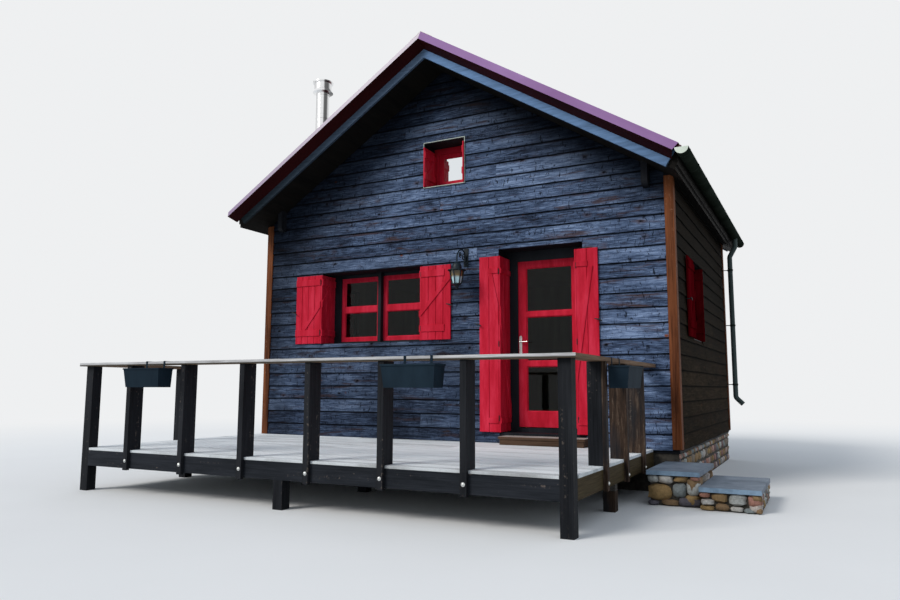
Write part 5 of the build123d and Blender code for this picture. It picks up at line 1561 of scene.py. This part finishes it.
def coach_bolt(place, axis):
    """Washer with a domed head on it, 38 mm across."""
    return turned([(0.019, -0.001), (0.019, 0.0025), (0.0135, 0.003), (0.0130, 0.006),
                   (0.0095, 0.0095), (0.005, 0.011), (0.0005, 0.0115)], 14, place, axis)


bolts = [coach_bolt(BASE + np.array([x, RIM_FACE - 0.040, 0.370]), -Y)
         for x in -2.360 + 0.838 * np.arange(6)]
bolts += [coach_bolt(BASE + np.array([RIGHT_FACE + 0.040, y, 0.335]), X)
          for y in -2.115 + 0.748 * np.arange(3)]
bolts.append(coach_bolt(BASE + np.array([LEFT_FACE - 0.040, -1.620, 0.335]), -X))
make_piece("rail_bolts", bolts, bolt_zinc)

# %% [markdown]
# ## Planters
#
# The troughs are thin flared shells with a rolled rim. The CAD model has the shell. The rim
# is one small section carried round a rectangle, with its corners mitred.

# %% Planter rims
PLANTER_TOP, PLANTER_LENGTH, PLANTER_WIDTH = 1.385, 0.545, 0.190


def band(half_length, width, z, thick, height, edge, along, out):
    """Small section carried round a rectangle, mitred at the corners."""
    outline = rectangle(-half_length, half_length, 0.0, width)
    grow = inset(outline, -thick)
    rows = [(outline, z), (grow, z), (grow, z + height), (outline, z + height)]
    local = np.stack([np.column_stack([row[:, 0], row[:, 1], np.full(4, level)])
                      for row, level in rows])
    return skin(placed(np.swapaxes(local, 0, 1), edge, along, out), closed=True)


planter_places = [(BASE + np.array([x, -3.070, 0]), X, -Y) for x in (-1.925, 1.395)]
planter_places.append((BASE + np.array([2.838, -1.850, 0]), Y, X))
rims = []
for edge, along, out in planter_places:
    rims.append(band(PLANTER_LENGTH / 2 - 0.001, PLANTER_WIDTH - 0.001, PLANTER_TOP - 0.016,
                     0.0055, 0.016, edge + 0.004 * out, along, out))
make_piece("planter_rims", rims, planter_coat)

# %% [markdown]
# ## Lantern
#
# The lamp hangs from a bracket with scrolls. A scroll is a spiral: its radius grows evenly
# with the angle. The arm is a smooth bend past a few chosen points.

# %% Scrolls and curved arms
LAMP_X, LAMP_REACH, LAMP_FOOT, LAMP_BRIM = 0.372, 0.300, 2.462, 2.712
LAMP = BASE + np.array([LAMP_X, -LAMP_REACH, 0.0])
CAGE_FOOT, CAGE_HEAD = 0.058, 0.094


def scroll(centre, start, end, turns, along, begin=0.0, radius=0.007):
    """Spiral rod: its radius goes from start to end while the angle makes its turns."""
    t = np.linspace(0, 1, 44)
    reach = start + (end - start) * t
    angle = begin + turns * 2 * np.pi * t
    path = (centre + (reach * np.cos(angle))[:, None] * along
            + (reach * np.sin(angle))[:, None] * UP)
    return rod(path, radius, 6)


def smooth_path(corners, count=40):
    """Curve past a few corners: a mix of all of them, where the nearest has the most weight.

    The weights are bell curves of the way along, divided by their sum.
    """
    corners = np.asarray(corners, dtype=float)
    t = np.linspace(0, len(corners) - 1, count)[:, None]
    weight = np.exp(-((t - np.arange(len(corners))) ** 2) / 0.32)
    return (weight / weight.sum(axis=1, keepdims=True)) @ corners


print("lamp hangs at", LAMP.round(3))

# %% [markdown]
# The lamp's body is a bell roof with a broad brim, a tapering cage of six bars and a small
# collar below. The roof and the collar are turned. The glass is a six-sided shell inside the
# bars, with a brass socket in its head.

# %% Wall lantern
lantern_parts = [
    turned([(0.0005, 0.113), (0.020, 0.110), (0.042, 0.098), (0.057, 0.078), (0.065, 0.050),
            (0.067, 0.014), (0.122, 0.005), (0.123, -0.003), (0.090, -0.007),
            (0.0005, -0.007)], 28, LAMP + LAMP_BRIM * UP),
    turned([(0.0005, 0.0), (0.010, 0.002), (0.014, 0.014), (0.024, 0.024), (0.030, 0.046),
            (0.052, 0.056), (0.060, 0.066), (0.060, 0.076), (0.0005, 0.078)], 24,
           LAMP + LAMP_FOOT * UP),
    slab(rectangle(LAMP_X - 0.034, LAMP_X + 0.034, 2.800, 3.048), 0.018, 0.030, 0.005,
         *WALLS["front"]),
]
corners = np.arange(6) * np.pi / 3 + np.pi / 6
ring = np.stack([np.cos(corners), np.sin(corners), np.zeros(6)], axis=-1)
for corner in ring:
    lantern_parts.append(rod([LAMP + CAGE_HEAD * corner + (LAMP_BRIM - 0.006) * UP,
                              LAMP + CAGE_FOOT * corner + (LAMP_FOOT + 0.072) * UP], 0.008, 6))
arm = smooth_path([[LAMP_X, -0.030, 2.870], [LAMP_X, -0.070, 2.985], [LAMP_X, -0.150, 3.020],
                   [LAMP_X, -0.240, 2.985], [LAMP_X, -0.296, 2.915], [LAMP_X, -0.300, 2.820]])
lantern_parts.append(rod(BASE + arm, 0.010))
for y, z, start, end, turns, along, begin in (
        (-0.095, 2.915, 0.010, 0.064, 1.6, -Y, 0.6), (-0.195, 2.940, 0.006, 0.040, 1.4, Y, 2.2),
        (-0.070, 2.840, 0.006, 0.034, 1.3, -Y, 3.4)):
    lantern_parts.append(scroll(BASE + np.array([LAMP_X, y, z]), start, end, turns, along, begin))
lantern = make_piece("lantern_body", lantern_parts, lantern_iron)
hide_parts("wall_lantern")
glass_rings = np.stack([LAMP + share * ring + height * UP for share, height in (
    (CAGE_HEAD - 0.007, LAMP_BRIM - 0.007), (CAGE_FOOT - 0.006, LAMP_FOOT + 0.075))])
make_piece("lantern_glass", [skin(glass_rings)], milk_glass, smooth=10)
make_piece("lantern_socket", [turned([(0.0005, -0.070), (0.016, -0.066), (0.024, -0.050),
                                      (0.022, -0.030), (0.030, -0.012), (0.0005, -0.008)], 14,
                                     LAMP + LAMP_BRIM * UP)], brass)

# %% [markdown]
# ## Stone steps
#
# Two slabs of slate lie on rough stones. The stones are lumps: a ball whose radius is
# pushed in and out by waves, then squared up a little so that stones fit side by side, as a
# waller picks them. Rows of lumps stand before a dark core, and they keep to the masonry's
# own box to within a centimetre.

# %% Rubble under the slabs
def lump(centre, size, seed, sides=12, rings=7):
    """Ball with its radius changed by waves, its flat sides drawn out towards a box."""
    dice = np.random.default_rng(seed)
    v = np.linspace(0.02, np.pi - 0.02, rings)[:, None]
    u = np.arange(sides)[None] * 2 * np.pi / sides
    ball = np.stack([np.sin(v) * np.cos(u), np.sin(v) * np.sin(u),
                     np.cos(v) * np.ones_like(u)], axis=-1)
    squared = ball / np.power(np.sum(np.abs(ball) ** 5, axis=-1, keepdims=True), 1 / 5)
    waves = sum(np.sin(ball @ dice.normal(size=3) * dice.uniform(2.0, 5.5)
                       + dice.uniform(0, 6.3)) for _ in range(5))
    return skin(centre + 0.5 * np.asarray(size) * squared * (1 + 0.045 * waves[..., None]) * 0.93)


def stone_face(origin, along, inward, length, z0, z1, sizes, seed):
    """Rows of lumps on one face, whose widths and heights come by chance."""
    dice = np.random.default_rng(seed)
    parts, numbers = [], []
    z = z0
    while z < z1 - 0.02:
        tall = min(dice.uniform(*sizes), z1 - z)
        tall = z1 - z if z1 - z - tall < 0.04 else tall
        u = 0.0
        while u < length - 0.02:
            wide = min(tall * dice.uniform(1.1, 2.1), length - u)
            wide = length - u if length - u - wide < 0.06 else wide
            deep = min(0.16, 0.9 * wide)
            centre = (origin + (u + wide / 2) * along + deep / 2 * inward
                      + (z + tall / 2) * UP)
            size = np.abs(along) * wide + np.abs(inward) * deep + UP * tall
            part = lump(centre, size, int(dice.integers(1, 99999)))
            parts.append(part)
            numbers.append(np.full((len(part[0]), 3), dice.uniform(0, 1)))
            u += wide
        z += tall
    return parts, numbers


print("one stone has", len(lump(np.zeros(3), (1, 1, 1), 1)[0]), "points")

# %% [markdown]
# The front faces are listed, one row of figures for a stone: its middle, its width and height, and
# the number that picks its colour. Chance could lay them too, as it does on the sides, but these
# stones are close to the eye and a waller chose each of them.

# %% The two steps
STEP_X, STEP_FRONT, STEP_BACK = (2.905, 3.430, 4.000), (-1.000, -1.100), 0.015
STEP_TOP = (0.305, 0.177)
OCHRE, BROWN, GREY, WHITE, SALMON, DARK = 0.06, 0.24, 0.44, 0.62, 0.79, 0.95
FRONT_STONES = (
    [(2.962, 0.263, 0.11, 0.080, GREY + 0.1), (3.095, 0.262, 0.14, 0.085, WHITE),
     (3.245, 0.272, 0.15, 0.065, OCHRE + 0.05), (3.378, 0.283, 0.10, 0.044, SALMON),
     (3.032, 0.133, 0.25, 0.175, OCHRE), (3.222, 0.160, 0.13, 0.150, GREY),
     (3.358, 0.185, 0.14, 0.150, GREY + 0.12), (3.130, 0.034, 0.18, 0.068, BROWN),
     (3.318, 0.052, 0.22, 0.104, DARK), (2.965, 0.026, 0.11, 0.050, DARK)],
    [(3.482, 0.148, 0.10, 0.052, SALMON), (3.610, 0.128, 0.16, 0.095, OCHRE + 0.1),
     (3.782, 0.118, 0.18, 0.115, WHITE - 0.09), (3.937, 0.115, 0.125, 0.120, SALMON + 0.02),
     (3.505, 0.082, 0.13, 0.060, WHITE), (3.500, 0.026, 0.14, 0.050, OCHRE),
     (3.640, 0.040, 0.13, 0.072, BROWN), (3.770, 0.030, 0.12, 0.052, WHITE),
     (3.890, 0.026, 0.12, 0.048, GREY), (3.968, 0.028, 0.06, 0.050, BROWN)])
rubble_parts, rubble_numbers, core = [], [], []
for i in range(2):
    for k, (x, z, wide, tall, number) in enumerate(FRONT_STONES[i]):
        deep = min(0.16, wide)
        part = lump(BASE + np.array([x, STEP_FRONT[i] + deep / 2, z]), (wide, deep, tall),
                    31 + 20 * i + k)
        rubble_parts.append(part)
        rubble_numbers.append(np.full((len(part[0]), 3), number))
    parts, numbers = stone_face(BASE + np.array([STEP_X[i + 1], STEP_FRONT[i], 0]), Y, -X,
                                STEP_BACK - STEP_FRONT[i], 0.0, STEP_TOP[i], (0.075, 0.15), 21 + i)
    rubble_parts += parts
    rubble_numbers += numbers
    core.append(plank(BASE + np.array([STEP_X[i] + 0.03, STEP_FRONT[i] + 0.05, 0.001]),
                      BASE + np.array([STEP_X[i + 1] - 0.05, STEP_BACK - 0.002,
                                       STEP_TOP[i] - 0.001]), 0.01))
stones = make_piece("step_stones", rubble_parts, rubble, grain=rubble_numbers, smooth=60)
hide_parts("step_masonry")
make_piece("step_core", core, mortar)

# %% [markdown]
# The plinth is the same rubble with its joints filled. A bump pattern would leave its lower
# edge straight. So rows of stones are set into the CAD solid, which serves as mortar, and
# stand about two centimetres proud of it.

# %% Rubble of the plinth
plinth_low, plinth_high = [np.array(corner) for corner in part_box("plinth")]
plinth_size = plinth_high - plinth_low
PROUD = 0.022
far = np.array([plinth_high[0], plinth_high[1], 0.0])
near = np.array([plinth_low[0], plinth_low[1], 0.0])
plinth_parts, plinth_numbers = [], []
for origin, along, inward, length in ((far, -Y, -X, plinth_size[1]), (far, -X, -Y, plinth_size[0]),
                                      (near, Y, X, plinth_size[1])):
    parts, numbers = stone_face(origin - PROUD * inward, along, inward, length, 0.0,
                                plinth_high[2] - 0.004, (0.08, 0.17), 61 + len(plinth_parts))
    plinth_parts += parts
    plinth_numbers += numbers
make_piece("plinth_stones", plinth_parts, rubble, grain=plinth_numbers, smooth=60)

# %% [markdown]
# ## Finishes on the CAD solids
#
# The last step of dressing gives every solid that still shows its own finish. A table of
# node and finish is easier to check than a row of calls, and the loop tells which nodes it
# did not name.

# %% Assign the finishes
FINISHES = {
    "corner_boards": corner_timber, "bargeboards": verge_timber_painted_light, "fascia_boards": soffit_timber,
    "wall_plates": black_timber, "ridge_beam": aged_timber, "roof_panels": soffit_timber,
    "roof_sheets": burgundy, "verge_flashings": verge_coat, "ridge_cap": burgundy,
    "gutter": gutter_coat, "downpipe": pipe_zinc, "flue": stainless, "flue_cowl": stainless,
    "window_frames": frame_paint, "window_sashes": crimson, "window_panes": clear_glass,
    "door_frame": black_paint, "door_sill": black_timber,
    "door_leaf": crimson, "door_panes": clear_glass, "door_handle": satin_steel,
    "door_hinge_pins": iron, "door_hinge_straps": iron,
    "deck_rim": rim_timber, "deck_joists": aged_timber, "deck_ledger": aged_timber,
    "deck_bearer": aged_timber, "deck_legs": post_timber, "corner_posts": post_timber,
    "rail_posts": post_timber, "handrails": handrail_timber, "door_step": step_timber,
    # The plinth's dark mortar is partly painted shade.
    "planters": planter_coat, "planter_soil": soil, "step_slabs": slate, "plinth": mortar,
    "floors": lining, "front_wall_left": lining, "front_wall_right": lining,
    "front_gable": lining, "back_wall": lining, "left_wall": lining, "right_wall": lining,
}
for node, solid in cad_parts.items():
    if node in FINISHES:
        solid.data.materials.clear()
        solid.data.materials.append(FINISHES[node])
    elif not solid.hide_render:
        print("no finish for", node)
print(len(FINISHES), "nodes have their own finish")
